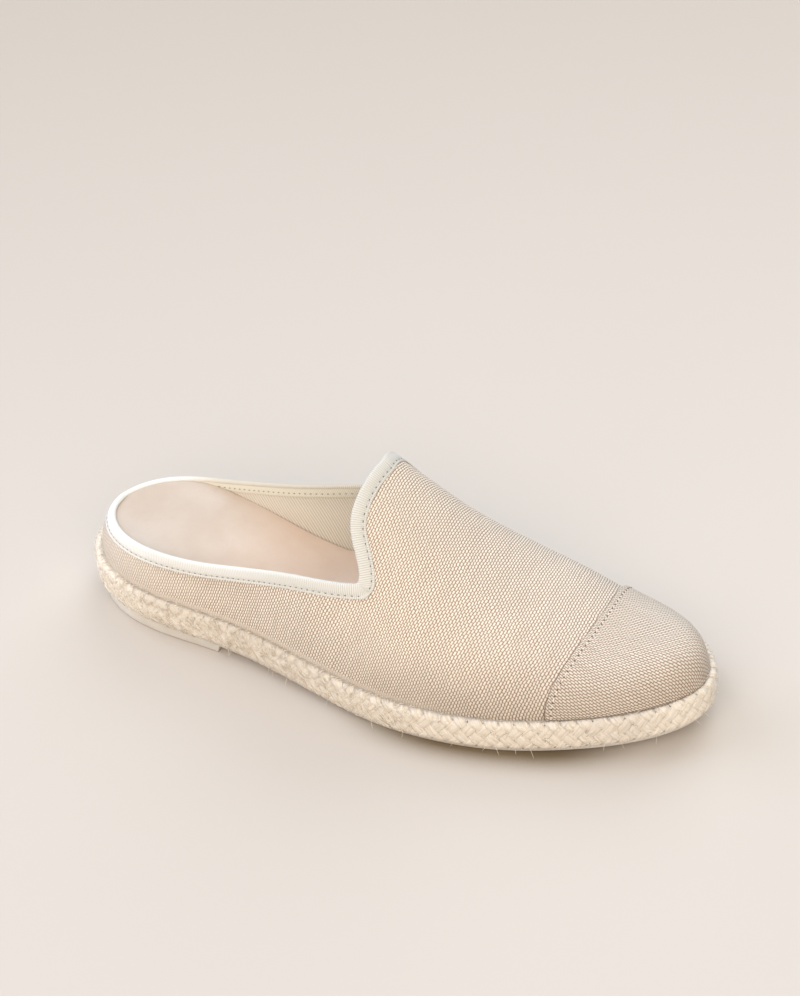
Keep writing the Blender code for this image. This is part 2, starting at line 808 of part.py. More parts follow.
def make_binding():
    """Ribbon folded over the edge of the opening, outside and inside the canvas."""
    path = binding_path()
    points, normals, heading = material_heading(path)
    count = len(path)
    full = np.full(count, RIBBON_OUTSIDE)
    span = (RIBBON_WIDENS_FROM, RIBBON_WIDENS_TO)
    inside = np.interp(points[:, 0], span, (RIBBON_INSIDE_HEEL, RIBBON_INSIDE_THROAT))
    stations = []
    out = RIBBON_GAP + RIBBON
    mid = CANVAS_WALL / 2.0
    profile = (
        (full, RIBBON_GAP), (full, out), (full * 0.5, out), (None, out),
        (None, -CANVAS_WALL - out), (inside * 0.5, -CANVAS_WALL - out),
        (inside, -CANVAS_WALL - out), (inside, -CANVAS_WALL - RIBBON_GAP),
        (inside * 0.5, -CANVAS_WALL - RIBBON_GAP), ("rim", -CANVAS_WALL - RIBBON_GAP),
        ("rim", RIBBON_GAP), (full * 0.5, RIBBON_GAP),
    )
    offset = upper_offset(add_drop(path))
    for reach, lift in profile:
        if isinstance(reach, np.ndarray):
            angle, rise = walk(path[:, 0], path[:, 1], heading, reach)
            grid = np.stack([angle, rise, np.zeros(count)], -1)
            stations.append(last_shell(grid, offset + lift))
        elif reach == "rim":
            stations.append(points - heading * RIBBON_GAP + normals * (offset + lift)[:, None])
        else:
            side = lift + mid
            shoulder = points - heading * RIBBON_SHOULDER + normals * (offset + lift)[:, None]
            top = offset - mid + side * RIBBON_CROWN
            crown = points - heading * out + normals * top[:, None]
            pair = [shoulder, crown]
            stations += pair if side > 0.0 else pair[::-1]
    body = bmesh.new()
    bridge_rings(body, rings_from_loops(body, stations), closed=True)
    return finish_object("collar_binding", body, "Ribbon_ivory", 50.0)


def contour_loop(angles, heights, inset):
    """Closed loop where the last stands at given heights, moved inward."""
    fine = np.linspace(0.02, math.pi - 0.02, 800)
    crest_place = section_place(fine)
    crest = feather_height(crest_place) + section_rise(fine)
    level = np.interp(crest_place, LENGTH / 2.0 * (1.0 - np.cos(angles)), heights)
    inside = np.flatnonzero(crest > level)
    low = crest_place[inside[0]]
    high = crest_place[inside[-1]]
    place = low + (high - low) * (1.0 - np.cos(angles)) / 2.0
    wanted = np.interp(place, LENGTH / 2.0 * (1.0 - np.cos(angles)), heights)
    section = section_angle(place)
    rise = rise_for_height(section, wanted)
    rise[0] = math.pi / 2.0
    rise[-1] = math.pi / 2.0
    outer = last_point(section, rise)[:, :2]
    inner = last_point(section, math.pi - rise)[:, :2]
    loop = np.concatenate([outer, inner[::-1][1:-1]])
    along = np.roll(loop, -1, 0) - np.roll(loop, 1, 0)
    along = along / np.linalg.norm(along, axis=1)[:, None]
    loop = loop + inset * np.stack([-along[:, 1], along[:, 0]], -1)
    lift = np.concatenate([wanted, wanted[::-1][1:-1]])
    return np.concatenate([loop, lift[:, None]], 1)


def make_insole():
    """Leather-topped insole: thin at the toe, a raised and padded seat at the heel."""
    angles = station_angles()
    places = LENGTH / 2.0 * (1.0 - np.cos(angles))
    lip = UNDERSIDE.read("z", places)
    feather = lip + FEATHER_RISE
    top = np.maximum(FOOTBED.read("z", places), feather + INSOLE_LEAST)
    edge = top - INSOLE_BEVEL
    shell = CANVAS_WALL + INSOLE_CLEARANCE
    inset = CANVAS_INSET + shell
    loops = [plan_loop(angles, inset, CORE_RISE + GAP)]
    loops.append(plan_loop(angles, inset, FEATHER_RISE))
    for share in (0.5, 1.0):
        loops.append(contour_loop(angles, feather + (edge - feather) * share, shell))
    loops.append(contour_loop(angles, top, shell + INSOLE_EDGE))
    dished = contour_loop(angles, top, shell + INSOLE_EDGE + INSOLE_DISH_RUN)
    dished[:, 2] -= INSOLE_DISH
    loops.append(dished)
    return finish_object("insole", capped_stack(loops), "Leather_rose", 50.0)


def centre_on_floor(things):
    """Place every object so that the shoe's box is centred over the origin."""
    corners = np.concatenate([[v.co for v in thing.data.vertices] for thing in things])
    low = corners.min(0)
    high = corners.max(0)
    centre = Vector(((low[0] + high[0]) / 2.0, (low[1] + high[1]) / 2.0, low[2]))
    for thing in bpy.data.objects:
        thing.location = -centre


def main():
    """Build the whole shoe."""
    for old in list(bpy.data.objects):
        bpy.data.objects.remove(old, do_unlink=True)
    things = [
        make_outsole(),
        make_braid(),
        make_upper(),
        make_toe_cap(),
        make_binding(),
        make_insole(),
    ]
    centre_on_floor(things)


main()
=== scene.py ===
"""Dressed model of a slip-on canvas mule, laid out as a Blender add-on and run as a script.

Working sizes are millimetres with the heel at x = 0, the toe at x = 292 and the inner
side of the foot at +y; place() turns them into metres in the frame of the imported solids.
"""
import math

import bmesh
import bpy
import numpy as np
from bpy.props import FloatProperty, FloatVectorProperty, IntProperty, PointerProperty
from mathutils import Matrix, Vector


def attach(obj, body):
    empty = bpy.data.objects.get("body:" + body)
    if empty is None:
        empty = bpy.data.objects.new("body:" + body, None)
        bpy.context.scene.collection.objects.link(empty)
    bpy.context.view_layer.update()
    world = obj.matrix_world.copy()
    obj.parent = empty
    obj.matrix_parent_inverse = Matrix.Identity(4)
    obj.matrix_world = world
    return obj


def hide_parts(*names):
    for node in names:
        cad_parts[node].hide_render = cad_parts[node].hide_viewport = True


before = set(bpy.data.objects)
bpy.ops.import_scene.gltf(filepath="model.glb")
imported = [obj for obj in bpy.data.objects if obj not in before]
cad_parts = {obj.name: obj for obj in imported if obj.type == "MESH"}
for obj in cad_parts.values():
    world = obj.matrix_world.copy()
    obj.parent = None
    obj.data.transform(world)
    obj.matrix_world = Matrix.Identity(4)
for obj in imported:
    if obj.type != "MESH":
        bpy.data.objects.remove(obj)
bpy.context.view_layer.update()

bl_info = {
    "name": "Canvas mule",
    "version": (1, 0, 0),
    "blender": (4, 5, 0),
    "location": "View3D > Sidebar > Mule",
    "description": "Builds a canvas mule on a plaited jute ring, piece by piece",
    "category": "Object",
}

MM = 0.001
PI = math.pi
CENTRE = np.array((146.033, -3.094, 0.0))

# Main sizes of the last and of what sits on it, in millimetres; CORNER_RISE is in degrees.
LENGTH = 292.0
CANVAS_WALL = 1.3
CANVAS_INSET = 4.3
FEATHER_RISE = 16.4
LIP_INSET = 2.5
LIP_HEIGHT = 1.7
CORE_INSET = 6.1
CORE_RISE = 13.0
BREAST_X = 79.0
BREAST_RUN = 1.2
CAP_PLACE = 242.0
CAP_SLOPE = 0.044
CAP_BOW = 0.0025
CAP_MIDDLE = 5.0
CAP_SINK = 0.6
CAP_BLEND = 18.0
CORNER_RISE = {"outer": 36.0, "inner": 38.5}
CORNER_ROUND = 3.4
CORNER_CLEAR = 5.1


def natural_spline(knots, values, places):
    """Smooth curve through a short column of values."""
    knots = np.asarray(knots, float)
    values = np.asarray(values, float)
    places = np.asarray(places, float)
    step = np.diff(knots)
    slope = np.diff(values) / step
    count = len(knots)
    matrix = np.eye(count)
    right = np.zeros(count)
    for row in range(1, count - 1):
        matrix[row, row - 1:row + 2] = step[row - 1], 2.0 * (step[row - 1] + step[row]), step[row]
        right[row] = 6.0 * (slope[row] - slope[row - 1])
    bend = np.linalg.solve(matrix, right)
    cell = np.clip(np.searchsorted(knots, places) - 1, 0, count - 2)
    ahead = places - knots[cell]
    behind = knots[cell + 1] - places
    width = step[cell]
    curve = (bend[cell] * behind ** 3 + bend[cell + 1] * ahead ** 3) / (6.0 * width)
    curve = curve + (values[cell] / width - bend[cell] * width / 6.0) * behind
    return curve + (values[cell + 1] / width - bend[cell + 1] * width / 6.0) * ahead


def steady_spline(knots, values, places):
    """Smooth curve through a short column of values that never overshoots them."""
    knots = np.asarray(knots, float)
    values = np.asarray(values, float)
    step = np.diff(knots)
    slope = np.diff(values) / step
    lean = np.zeros(len(knots))
    lean[0], lean[-1] = slope[0], slope[-1]
    for row in range(1, len(knots) - 1):
        before, after = slope[row - 1], slope[row]
        if before * after > 0.0:
            lean[row] = 2.0 * before * after / (before + after)
    places = np.clip(np.asarray(places, float), knots[0], knots[-1])
    cell = np.clip(np.searchsorted(knots, places) - 1, 0, len(knots) - 2)
    width = step[cell]
    share = (places - knots[cell]) / width
    rest = 1.0 - share
    start = values[cell] * (1.0 + 2.0 * share) * rest ** 2
    end = values[cell + 1] * (3.0 - 2.0 * share) * share ** 2
    return start + end + width * share * rest * (lean[cell] * rest - lean[cell + 1] * share)


class Table:
    """Rows of named columns, read smoothly along the first column."""

    def __init__(self, names, rows, steady=False):
        columns = np.array(rows, float).T
        self.columns = dict(zip(names, columns))
        self.places = columns[0]
        self.curve = steady_spline if steady else natural_spline

    def read(self, name, place):
        return self.curve(self.places, self.columns[name], place)


OUTLINE = Table(("angle", "outer", "inner"), (
    (0.0, 50.0, 63.0), (22.5, 55.0, 65.0), (45.0, 49.6, 52.2), (67.5, 42.4, 33.4),
    (90.0, 51.3, 35.9), (112.5, 56.5, 51.6), (135.0, 54.7, 57.6), (157.5, 52.8, 60.5),
    (180.0, 50.0, 55.8),
))
UNDERSIDE = Table(("x", "z"), (
    (0.0, 6.4), (88.0, 3.4), (131.0, 2.7), (175.0, 0.0), (205.0, 0.0), (248.0, 2.6),
    (292.0, 7.6),
), steady=True)
LAST_HEIGHT = Table(("angle", "swell"), (
    (0.0, 54.0), (20.0, 54.0), (45.0, 61.5), (70.0, 85.8), (90.0, 80.8), (105.0, 53.7),
    (120.0, 35.8), (135.0, 26.8), (150.0, 32.5), (165.0, 47.9), (180.0, 68.0),
))
LAST_SHAPE = Table(("x", "roundness", "ridge"), (
    (0.0, 2.00, 0.50), (60.0, 2.00, 0.48), (150.0, 2.00, 0.60), (210.0, 2.28, 0.535),
    (255.0, 2.48, 0.53), (278.0, 2.25, 0.51), (292.0, 2.00, 0.50),
), steady=True)
TOPLINE = Table(("x", "outer", "inner"), (
    (0.0, 39.6, 39.4), (25.0, 40.3, 38.5), (50.0, 41.7, 40.5), (75.0, 44.4, 47.3),
    (100.0, 50.6, 54.4), (125.0, 57.6, 60.4), (158.0, 62.6, 65.4),
))
THROAT = Table(("rise", "x"), (
    (34.0, 157.6), (44.0, 155.0), (52.0, 150.2), (62.0, 148.4), (75.0, 149.3), (90.0, 150.4),
))
FOOTBED = Table(("x", "z"), (
    (0.0, 37.0), (38.0, 35.9), (60.0, 32.8), (85.0, 28.8), (105.0, 24.6), (125.0, 20.8),
    (150.0, 18.6), (190.0, 17.6), (235.0, 19.6), (292.0, 25.6),
), steady=True)


def unit(vectors):
    """The same directions with a length of one."""
    return vectors / np.linalg.norm(vectors, axis=-1)[..., None]


def run_along(points):
    """Distance run at each point of a path, from zero at its start."""
    return np.concatenate([[0.0], np.cumsum(np.linalg.norm(np.diff(points, axis=0), axis=1))])


def outline_sides(places, inset):
    """Points along the outer and inner side of the plan outline, moved inward."""
    angle = np.degrees(places)
    run = LENGTH / 2.0 * (1.0 - np.cos(places))
    outer = np.stack([run, -np.sin(places) * OUTLINE.read("outer", angle)], -1)
    inner = np.stack([run, np.sin(places) * OUTLINE.read("inner", angle)], -1)
    loop = np.concatenate([outer, inner[::-1][1:-1]])
    along = unit(np.roll(loop, -1, 0) - np.roll(loop, 1, 0))
    loop = loop + inset * np.stack([-along[:, 1], along[:, 0]], -1)
    count = len(places)
    return loop[:count], np.concatenate([loop[:1], loop[count - 1:][::-1]])


FINE = np.linspace(0.0, PI, 241)
BASE_OUTER, BASE_INNER = outline_sides(FINE, CANVAS_INSET)
HEEL_END = BASE_OUTER[0, 0]
TOE_END = BASE_OUTER[-1, 0]


def section_place(angle):
    """Distance from the heel of a section of the last."""
    return HEEL_END + (TOE_END - HEEL_END) * (1.0 - np.cos(angle)) / 2.0


def section_angle(place):
    """Section angle of the last at a distance from the heel."""
    share = (np.asarray(place, float) - HEEL_END) / (TOE_END - HEEL_END)
    return np.arccos(np.clip(1.0 - 2.0 * share, -1.0, 1.0))


def feather_height(place):
    """Height at which the canvas leaves the plaited ring."""
    return UNDERSIDE.read("z", place) + FEATHER_RISE


def section_rise(angle):
    """Height of the last's ridge above the feather line."""
    return LAST_HEIGHT.read("swell", np.degrees(angle)) * np.sin(angle)


def last_point(angle, rise):
    """Point of the last: rise runs from 0 at the outer edge to pi at the inner edge."""
    angle = np.asarray(angle, float)
    rise = np.asarray(rise, float)
    place = section_place(angle)
    left = np.interp(place, BASE_OUTER[:, 0], BASE_OUTER[:, 1])
    right = np.interp(place, BASE_INNER[:, 0], BASE_INNER[:, 1])
    ridge = left + LAST_SHAPE.read("ridge", place) * (right - left)
    power = 2.0 / LAST_SHAPE.read("roundness", place)
    level = np.cos(rise)
    reach = np.where(level > 0.0, ridge - left, right - ridge)
    across = ridge - np.sign(level) * reach * np.abs(level) ** power
    lift = np.clip(np.sin(rise), 0.0, 1.0) ** power
    height = feather_height(place) + section_rise(angle) * lift
    return np.stack(np.broadcast_arrays(place, across, height), -1)


def last_normal(angle, rise):
    """Outward direction of the last's surface."""
    angle = np.asarray(angle, float)
    rise = np.asarray(rise, float)
    step = 0.012
    inside = np.clip(angle, 3.0 * step, PI - 3.0 * step)
    level = np.clip(rise, 2.0 * step, PI - 2.0 * step)
    along = last_point(inside + step, level) - last_point(inside - step, level)
    upward = last_point(inside, level + step) - last_point(inside, level - step)
    normal = unit(np.cross(along, upward))
    edge = np.minimum(rise, PI - rise) < 2.0 * step
    normal[..., 2] = np.where(edge, 0.0, normal[..., 2])
    ends = np.sin(angle) < 0.001
    normal[..., 0] = np.where(ends, -np.sign(np.cos(angle)), normal[..., 0])
    normal[..., 1] = np.where(ends, 0.0, normal[..., 1])
    normal[..., 2] = np.where(ends, 0.0, normal[..., 2])
    return unit(normal)


def cap_line(across):
    """Distance from the heel of the toe cap's rear edge."""
    return CAP_PLACE + CAP_SLOPE * across - CAP_BOW * (across - CAP_MIDDLE) ** 2


def cap_sink(angle, rise):
    """How far the canvas dips under the toe cap."""
    points = last_point(angle, rise)
    ahead = points[..., 0] - cap_line(points[..., 1])
    share = np.clip((ahead + CAP_BLEND) / CAP_BLEND, 0.0, 1.0)
    above = np.clip(np.sin(rise) * 3.0, 0.0, 1.0)
    return -CAP_SINK * above * share * share * (3.0 - 2.0 * share)


def rise_for_height(angle, height):
    """Rise angle at which the outer side of a section reaches a height."""
    place = section_place(angle)
    share = (height - feather_height(place)) / section_rise(angle)
    power = LAST_SHAPE.read("roundness", place) / 2.0
    return np.arcsin(np.clip(share, 0.0, 1.0) ** power)


def back_angle():
    """Section angle where the opening's edge crosses the ridge at the heel."""
    angles = np.linspace(0.05, 1.2, 2400)
    places = section_place(angles)
    above = feather_height(places) + section_rise(angles) >= TOPLINE.read("outer", places)
    return float(angles[np.argmax(above)])


BACK = back_angle()


def edge_path(side, side_steps, corner_steps, throat_steps):
    """Edge of the opening on one side, from the heel's back to the ridge, and its corner."""
    corner_x = float(THROAT.read("x", CORNER_RISE[side] - 1.0))
    corner_angle = float(section_angle(corner_x))
    stop = float(section_angle(corner_x - CORNER_ROUND))
    shares = (np.arange(side_steps) / (side_steps - 1.0)) ** 1.45
    angles = BACK + (stop - BACK) * shares
    rises = rise_for_height(angles, TOPLINE.read(side, section_place(angles)))
    rises[0] = PI / 2.0
    rows = np.stack([angles, rises], -1)
    tip_rise = float(rise_for_height(corner_angle, TOPLINE.read(side, corner_x)))
    tip = np.array([corner_angle, tip_rise])
    climb = np.linspace(math.degrees(tip_rise) + CORNER_CLEAR, 90.0, throat_steps)
    throat = np.stack([section_angle(THROAT.read("x", climb)), np.radians(climb)], -1)
    share = np.linspace(0.0, 1.0, corner_steps)[:, None]
    soft = (1.0 - share) ** 2 * rows[-1] + 2.0 * (1.0 - share) * share * tip
    soft = soft + share ** 2 * throat[0]
    path = np.concatenate([rows[:-1], soft, throat[1:]])
    if side == "inner":
        path[:, 1] = PI - path[:, 1]
    return path, side_steps - 1 + corner_steps // 2


WALK_STEPS = 3


def walk(angle, rise, heading, distance):
    """Follow the last's surface for a distance in a heading, all points at once."""
    small = 0.004
    for _ in range(WALK_STEPS):
        safe = np.clip(angle, 0.03, PI - 0.03)
        along = (last_point(safe + small, rise) - last_point(safe - small, rise)) / (2.0 * small)
        upward = (last_point(safe, rise + small) - last_point(safe, rise - small)) / (2.0 * small)
        normal = unit(np.cross(along, upward))
        heading = unit(heading - normal * (heading * normal).sum(-1)[:, None])
        a, b, c = (along ** 2).sum(-1), (along * upward).sum(-1), (upward ** 2).sum(-1)
        p, q = (along * heading).sum(-1), (upward * heading).sum(-1)
        scale = distance / WALK_STEPS / (a * c - b * b)
        angle = angle + (c * p - b * q) * scale
        rise = rise + (a * q - b * p) * scale
    return angle, rise, heading


def soft_step(low, high, values):
    """0 below low, 1 above high, and a smooth rise between."""
    share = np.clip((np.asarray(values, float) - low) / (high - low), 0.0, 1.0)
    return share * share * (3.0 - 2.0 * share)


def place(points):
    """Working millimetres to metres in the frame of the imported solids."""
    return (np.asarray(points, float) - CENTRE) * MM


def shell(angle, rise, offset, drop=0.0):
    """Points at an offset from the last, lowered straight down by a drop."""
    points = last_point(angle, rise)
    offset = np.asarray(offset, float) + np.zeros(points.shape[:-1])
    points = points + offset[..., None] * last_normal(angle, rise)
    points[..., 2] -= drop
    return points


def lay_grid(body, points, cloth=None, layer=None):
    """Add a grid of points in millimetres, with cloth coordinates for each of its corners."""
    points = place(points)
    rows, columns = points.shape[:2]
    made = bmesh.ops.create_grid(body, x_segments=rows - 1, y_segments=columns - 1, size=1.0)
    spot = {}
    for vert in made["verts"]:
        i = round((vert.co.x + 1.0) / 2.0 * (rows - 1))
        j = round((vert.co.y + 1.0) / 2.0 * (columns - 1))
        vert.co = points[i, j]
        spot[vert] = (i, j)
    if cloth is not None:
        for face in {face for vert in made["verts"] for face in vert.link_faces}:
            for loop in face.loops:
                loop[layer].uv = cloth[spot[loop.vert]]


def sheet_body(grids, merge=0.02):
    """Merged bmesh of one or more grids, its faces turned the same way."""
    body = bmesh.new()
    layer = body.loops.layers.uv.new("cloth")
    for grid in grids:
        points, cloth = grid if isinstance(grid, tuple) else (grid, None)
        lay_grid(body, points, cloth, layer)
    bmesh.ops.remove_doubles(body, verts=body.verts, dist=merge * MM)
    bmesh.ops.recalc_face_normals(body, faces=body.faces)
    return body


def face_up(body, inside):
    """Turn an open sheet so that its faces look away from a point inside."""
    inside = Vector(place(inside))
    total = 0.0
    for face in body.faces:
        total += face.normal.dot(face.calc_center_median() - inside) * face.calc_area()
    if total < 0.0:
        bmesh.ops.reverse_faces(body, faces=body.faces)


def make_object(name, body, material, smooth=True):
    """Turn a bmesh into a named object with its material."""
    mesh = bpy.data.meshes.new(name)
    body.to_mesh(mesh)
    body.free()
    if smooth:
        mesh.shade_smooth()
    thing = bpy.data.objects.new(name, mesh)
    bpy.context.collection.objects.link(thing)
    thing.data.materials.append(material)
    return thing


def put_on_shoe(thing, slot, *nodes):
    """Let a piece ride on the shoe and hide the solids that it stands for; its finish slot is not used."""
    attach(thing, "root")
    if nodes:
        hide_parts(*nodes)


def mark_foot(thing):
    """Store each point's height above the edge of the footbed (mm) for the piece's finish."""
    mesh = thing.data
    spots = np.empty(len(mesh.vertices) * 3)
    mesh.vertices.foreach_get("co", spots)
    spots = spots.reshape(-1, 3) / MM + CENTRE
    foot = mesh.attributes.new("foot", "FLOAT", "POINT")
    foot.data.foreach_set("value", (spots[:, 2] - feather_height(spots[:, 0])).astype(np.float32))


def add_thickness(thing, thickness):
    """Give an open sheet its thickness on its inner side."""
    wall = thing.modifiers.new("wall", "SOLIDIFY")
    wall.thickness = thickness * MM
    wall.offset = -1.0
    wall.use_even_offset = False


def flatten_cloth(thing, start, end, turn=0.0):
    """Unroll a sheet of cloth flat, in millimetres, with its length along the ridge."""
    mesh = thing.data
    spots = np.empty(len(mesh.vertices) * 3)
    mesh.vertices.foreach_get("co", spots)
    spots = spots.reshape(-1, 3)
    bpy.context.view_layer.objects.active = thing
    for other in bpy.context.selected_objects:
        other.select_set(False)
    thing.select_set(True)
    bpy.ops.object.mode_set(mode="EDIT")
    bpy.ops.mesh.select_all(action="SELECT")
    bpy.ops.uv.unwrap(method="MINIMUM_STRETCH", iterations=12, margin=0.0)
    bpy.ops.object.mode_set(mode="OBJECT")
    thing.select_set(False)
    layer = mesh.uv_layers["cloth"]
    flat = np.empty(len(mesh.loops) * 2)
    layer.data.foreach_get("uv", flat)
    flat = flat.reshape(-1, 2)
    owner = np.empty(len(mesh.loops), int)
    mesh.loops.foreach_get("vertex_index", owner)
    ends = []
    for spot in (start, end):
        vertex = int(np.argmin(np.linalg.norm(spots - place(spot), axis=1)))
        ends.append((spots[vertex], flat[np.flatnonzero(owner == vertex)[0]]))
    span = ends[1][1] - ends[0][1]
    angle = math.atan2(span[1], span[0]) - turn
    size = np.linalg.norm(ends[1][0] - ends[0][0]) / MM / np.linalg.norm(span)
    spin = np.array(((math.cos(angle), -math.sin(angle)), (math.sin(angle), math.cos(angle))))
    flat = (flat - ends[0][1]) @ spin * size
    layer.data.foreach_set("uv", flat.ravel())


class Finish:
    """Node tree of one material, put together from short steps."""

    def __init__(self, name):
        self.material = bpy.data.materials.new(name)
        self.material.use_nodes = True
        self.tree = self.material.node_tree
        self.shader = self.tree.nodes["Principled BSDF"]
        self.shader.inputs["Metallic"].default_value = 0.0

    def node(self, kind, inputs=(), **settings):
        """A new node with its settings and with values or links on its sockets."""
        node = self.tree.nodes.new("ShaderNode" + kind)
        for key, value in settings.items():
            setattr(node, key, value)
        for key, value in dict(inputs).items():
            self.feed(node.inputs[key], value)
        return node

    def feed(self, socket, value):
        """Link a socket, or set its value."""
        if isinstance(value, bpy.types.NodeSocket):
            self.tree.links.new(value, socket)
        else:
            socket.default_value = value

    def set(self, **values):
        """Set the shader's own sockets; underscores stand for spaces."""
        for key, value in values.items():
            if isinstance(value, tuple):
                value = (*value, 1.0)
            self.feed(self.shader.inputs[key.replace("_", " ")], value)

    def math(self, operation, *values):
        """One arithmetic step."""
        return self.node("Math", enumerate(values), operation=operation).outputs[0]

    def times(self, first, second):
        """Product of two values."""
        return self.math("MULTIPLY", first, second)

    def step(self, value, low, high, out_low=0.0, out_high=1.0):
        """A smooth rise of one value between two limits of another."""
        inputs = {"Value": value, "From Min": low, "From Max": high, "To Min": out_low, "To Max": out_high}
        return self.node("MapRange", inputs, interpolation_type="SMOOTHSTEP").outputs[0]

    def cloth(self):
        """Cloth coordinates in millimetres, as two values."""
        split = self.node("SeparateXYZ", {0: self.node("UVMap", uv_map="cloth").outputs[0]})
        return split.outputs[0], split.outputs[1]

    def body_place(self, scale=(1000.0, 1000.0, 1000.0)):
        """Object coordinates stretched to a scale, in millimetres by default."""
        source = self.node("TexCoord").outputs["Object"]
        return self.node("Mapping", {"Vector": source, "Scale": scale}).outputs[0]

    def vector(self, x, y, z=0.0):
        """Three values as one vector."""
        return self.node("CombineXYZ", {0: x, 1: y, 2: z}).outputs[0]

    def noise(self, place, scale, detail=2.0, roughness=0.5):
        """Soft noise between 0 and 1."""
        inputs = {"Vector": place, "Scale": scale, "Detail": detail, "Roughness": roughness}
        return self.node("TexNoise", inputs).outputs[0]

    def mix(self, share, first, second, blend="MIX"):
        """Mix of two colours."""
        node = self.node("Mix", data_type="RGBA", blend_type=blend)
        for index, value in ((0, share), (6, first), (7, second)):
            if isinstance(value, tuple):
                value = (*value, 1.0)
            self.feed(node.inputs[index], value)
        return node.outputs[2]

    def tint(self, share, under, colour):
        """A colour multiplied by another one where a share says so."""
        return self.mix(share, under, colour, "MULTIPLY")

    def bump(self, height, distance, strength):
        """Relief of a height in millimetres."""
        inputs = {"Height": height, "Distance": distance * MM, "Strength": strength}
        return self.node("Bump", inputs).outputs[0]


def toned(base, *by):
    """A colour multiplied by one number or by three."""
    return tuple(base * np.array(by))


THREAD_WAVER = 1.3


def plain_weave(finish, cream_pitch, sand_pitch):
    """Masks of the cream and sand threads of a plain weave, and its height."""
    along, across = finish.cloth()
    field = finish.vector(along, across)
    drift = finish.noise(field, 0.16, 2.0)
    slide = finish.noise(finish.vector(across, along, 7.0), 0.16, 2.0)
    along = finish.math("MULTIPLY_ADD", finish.math("SUBTRACT", drift, 0.5), THREAD_WAVER, along)
    across = finish.math("MULTIPLY_ADD", finish.math("SUBTRACT", slide, 0.5), THREAD_WAVER, across)
    turn = finish.times(along, PI / cream_pitch)
    pass_by = finish.times(across, PI / sand_pitch)
    side = finish.math("SIGN", finish.math("SINE", turn))
    twist = finish.times(finish.math("COSINE", pass_by), side)
    turn = finish.math("MULTIPLY_ADD", twist, -0.03 * PI, turn)
    width = finish.math("ABSOLUTE", finish.math("SINE", turn))
    rise = finish.times(finish.math("SINE", pass_by), side)
    cream = finish.times(finish.step(rise, -0.88, -0.5), finish.step(width, 0.24, 0.6))
    sand = finish.times(finish.step(rise, -0.3, -0.65), finish.step(width, 0.35, 0.7))
    crown = finish.math("MULTIPLY_ADD", rise, 0.35, 0.65)
    height = finish.times(finish.times(crown, width), cream)
    height = finish.math("MAXIMUM", height, finish.times(sand, 0.3))
    return along, across, cream, sand, height


def canvas_finish(name, sizes, colours, spacing=(1.0, 0.9), shade=1.0, capped=False):
    """Coarse canvas: close cream threads one way, sand-coloured threads the other, dark between."""
    finish = Finish(name)
    pitch = sizes.thread_pitch / MM
    along, across, over, under, height = plain_weave(finish, pitch * spacing[0], pitch * spacing[1])
    field = finish.vector(finish.times(along, 1.1), finish.times(across, 0.07))
    slub_one = finish.noise(field, 0.9, 3.0)
    field = finish.vector(finish.times(along, 0.07), finish.times(across, 1.1), 3.0)
    slub_two = finish.noise(field, 0.9, 3.0)
    fibre = finish.noise(finish.vector(along, across), 5.0, 2.0, 0.7)
    pale, dull = np.array(colours.cream_thread) * shade, np.array(colours.sand_thread) * shade
    cream = finish.mix(finish.step(slub_one, 0.3, 0.75), tuple(pale), tuple(pale * 0.86))
    sand = finish.mix(finish.step(slub_two, 0.35, 0.7), tuple(dull), tuple(dull * 0.8))
    cloth = finish.mix(under, tuple(dull ** 1.7 * 0.75), sand)
    cloth = finish.mix(over, cloth, cream)
    cloth = finish.mix(finish.step(fibre, 0.35, 0.7, 0.0, 0.1), cloth, tuple(dull * 0.8))
    worn = finish.noise(finish.body_place(), 0.028, 3.0, 0.55)
    cloth = finish.mix(finish.step(worn, 0.42, 0.72, 0.0, 0.08), cloth, tuple(pale * 0.92))
    spot = finish.node("SeparateXYZ", {0: finish.body_place()}).outputs
    plain = tuple(pale * 0.62 + dull * 0.28)
    cloth = finish.mix(finish.step(spot[0], -60.0, -125.0, 0.0, 0.45), cloth, plain)
    foot = finish.node("Attribute", attribute_name="foot").outputs["Fac"]
    band = finish.step(foot, 2.2, 1.0, 0.0, 0.75)
    turned_in = finish.times(band, finish.step(spot[0], 70.0, 20.0))
    cloth = finish.mix(turned_in, cloth, tuple(np.array(plain) * 0.98))
    # Painted shade: the canvas is 5 % darker ahead of the middle.
    cloth = finish.tint(finish.step(spot[0], 0.0, 60.0), cloth, (0.95, 0.95, 0.95))
    # Painted shade: up to 20 % darker low on the walls, most towards the front.
    low = finish.step(foot, 30.0, 1.0)
    shaded = finish.times(low, finish.step(spot[0], -40.0, 60.0, 0.15, 1.0))
    cloth = finish.tint(shaded, cloth, (0.80, 0.79, 0.78))
    # Painted shadow: a dark line on the canvas along the toe cap's rear edge, where its fold overhangs.
    if capped:
        bow = finish.math("POWER", finish.math("SUBTRACT", spot[1], CAP_MIDDLE - CENTRE[1]), 2.0)
        slope = finish.math("MULTIPLY_ADD", spot[1], -CAP_SLOPE, spot[0])
        ahead = finish.math("MULTIPLY_ADD", bow, CAP_BOW, slope)
        cap_edge_shadow = finish.times(finish.step(ahead, 94.8, 95.6), finish.step(ahead, 98.5, 97.0))
        cloth = finish.mix(finish.times(cap_edge_shadow, 0.75), cloth, tuple(dull ** 1.7 * 0.6))
    height = finish.math("MULTIPLY_ADD", fibre, 0.15, height)
    height = finish.math("MULTIPLY_ADD", slub_one, 0.2, height)
    finish.set(
        Base_Color=cloth,
        Roughness=finish.step(height, 0.1, 1.0, 0.95, 0.78),
        Normal=finish.bump(height, 0.25, 0.8),
        Sheen_Weight=0.1,
        Sheen_Roughness=0.45,
        Specular_IOR_Level=0.25,
    )
    return finish.material


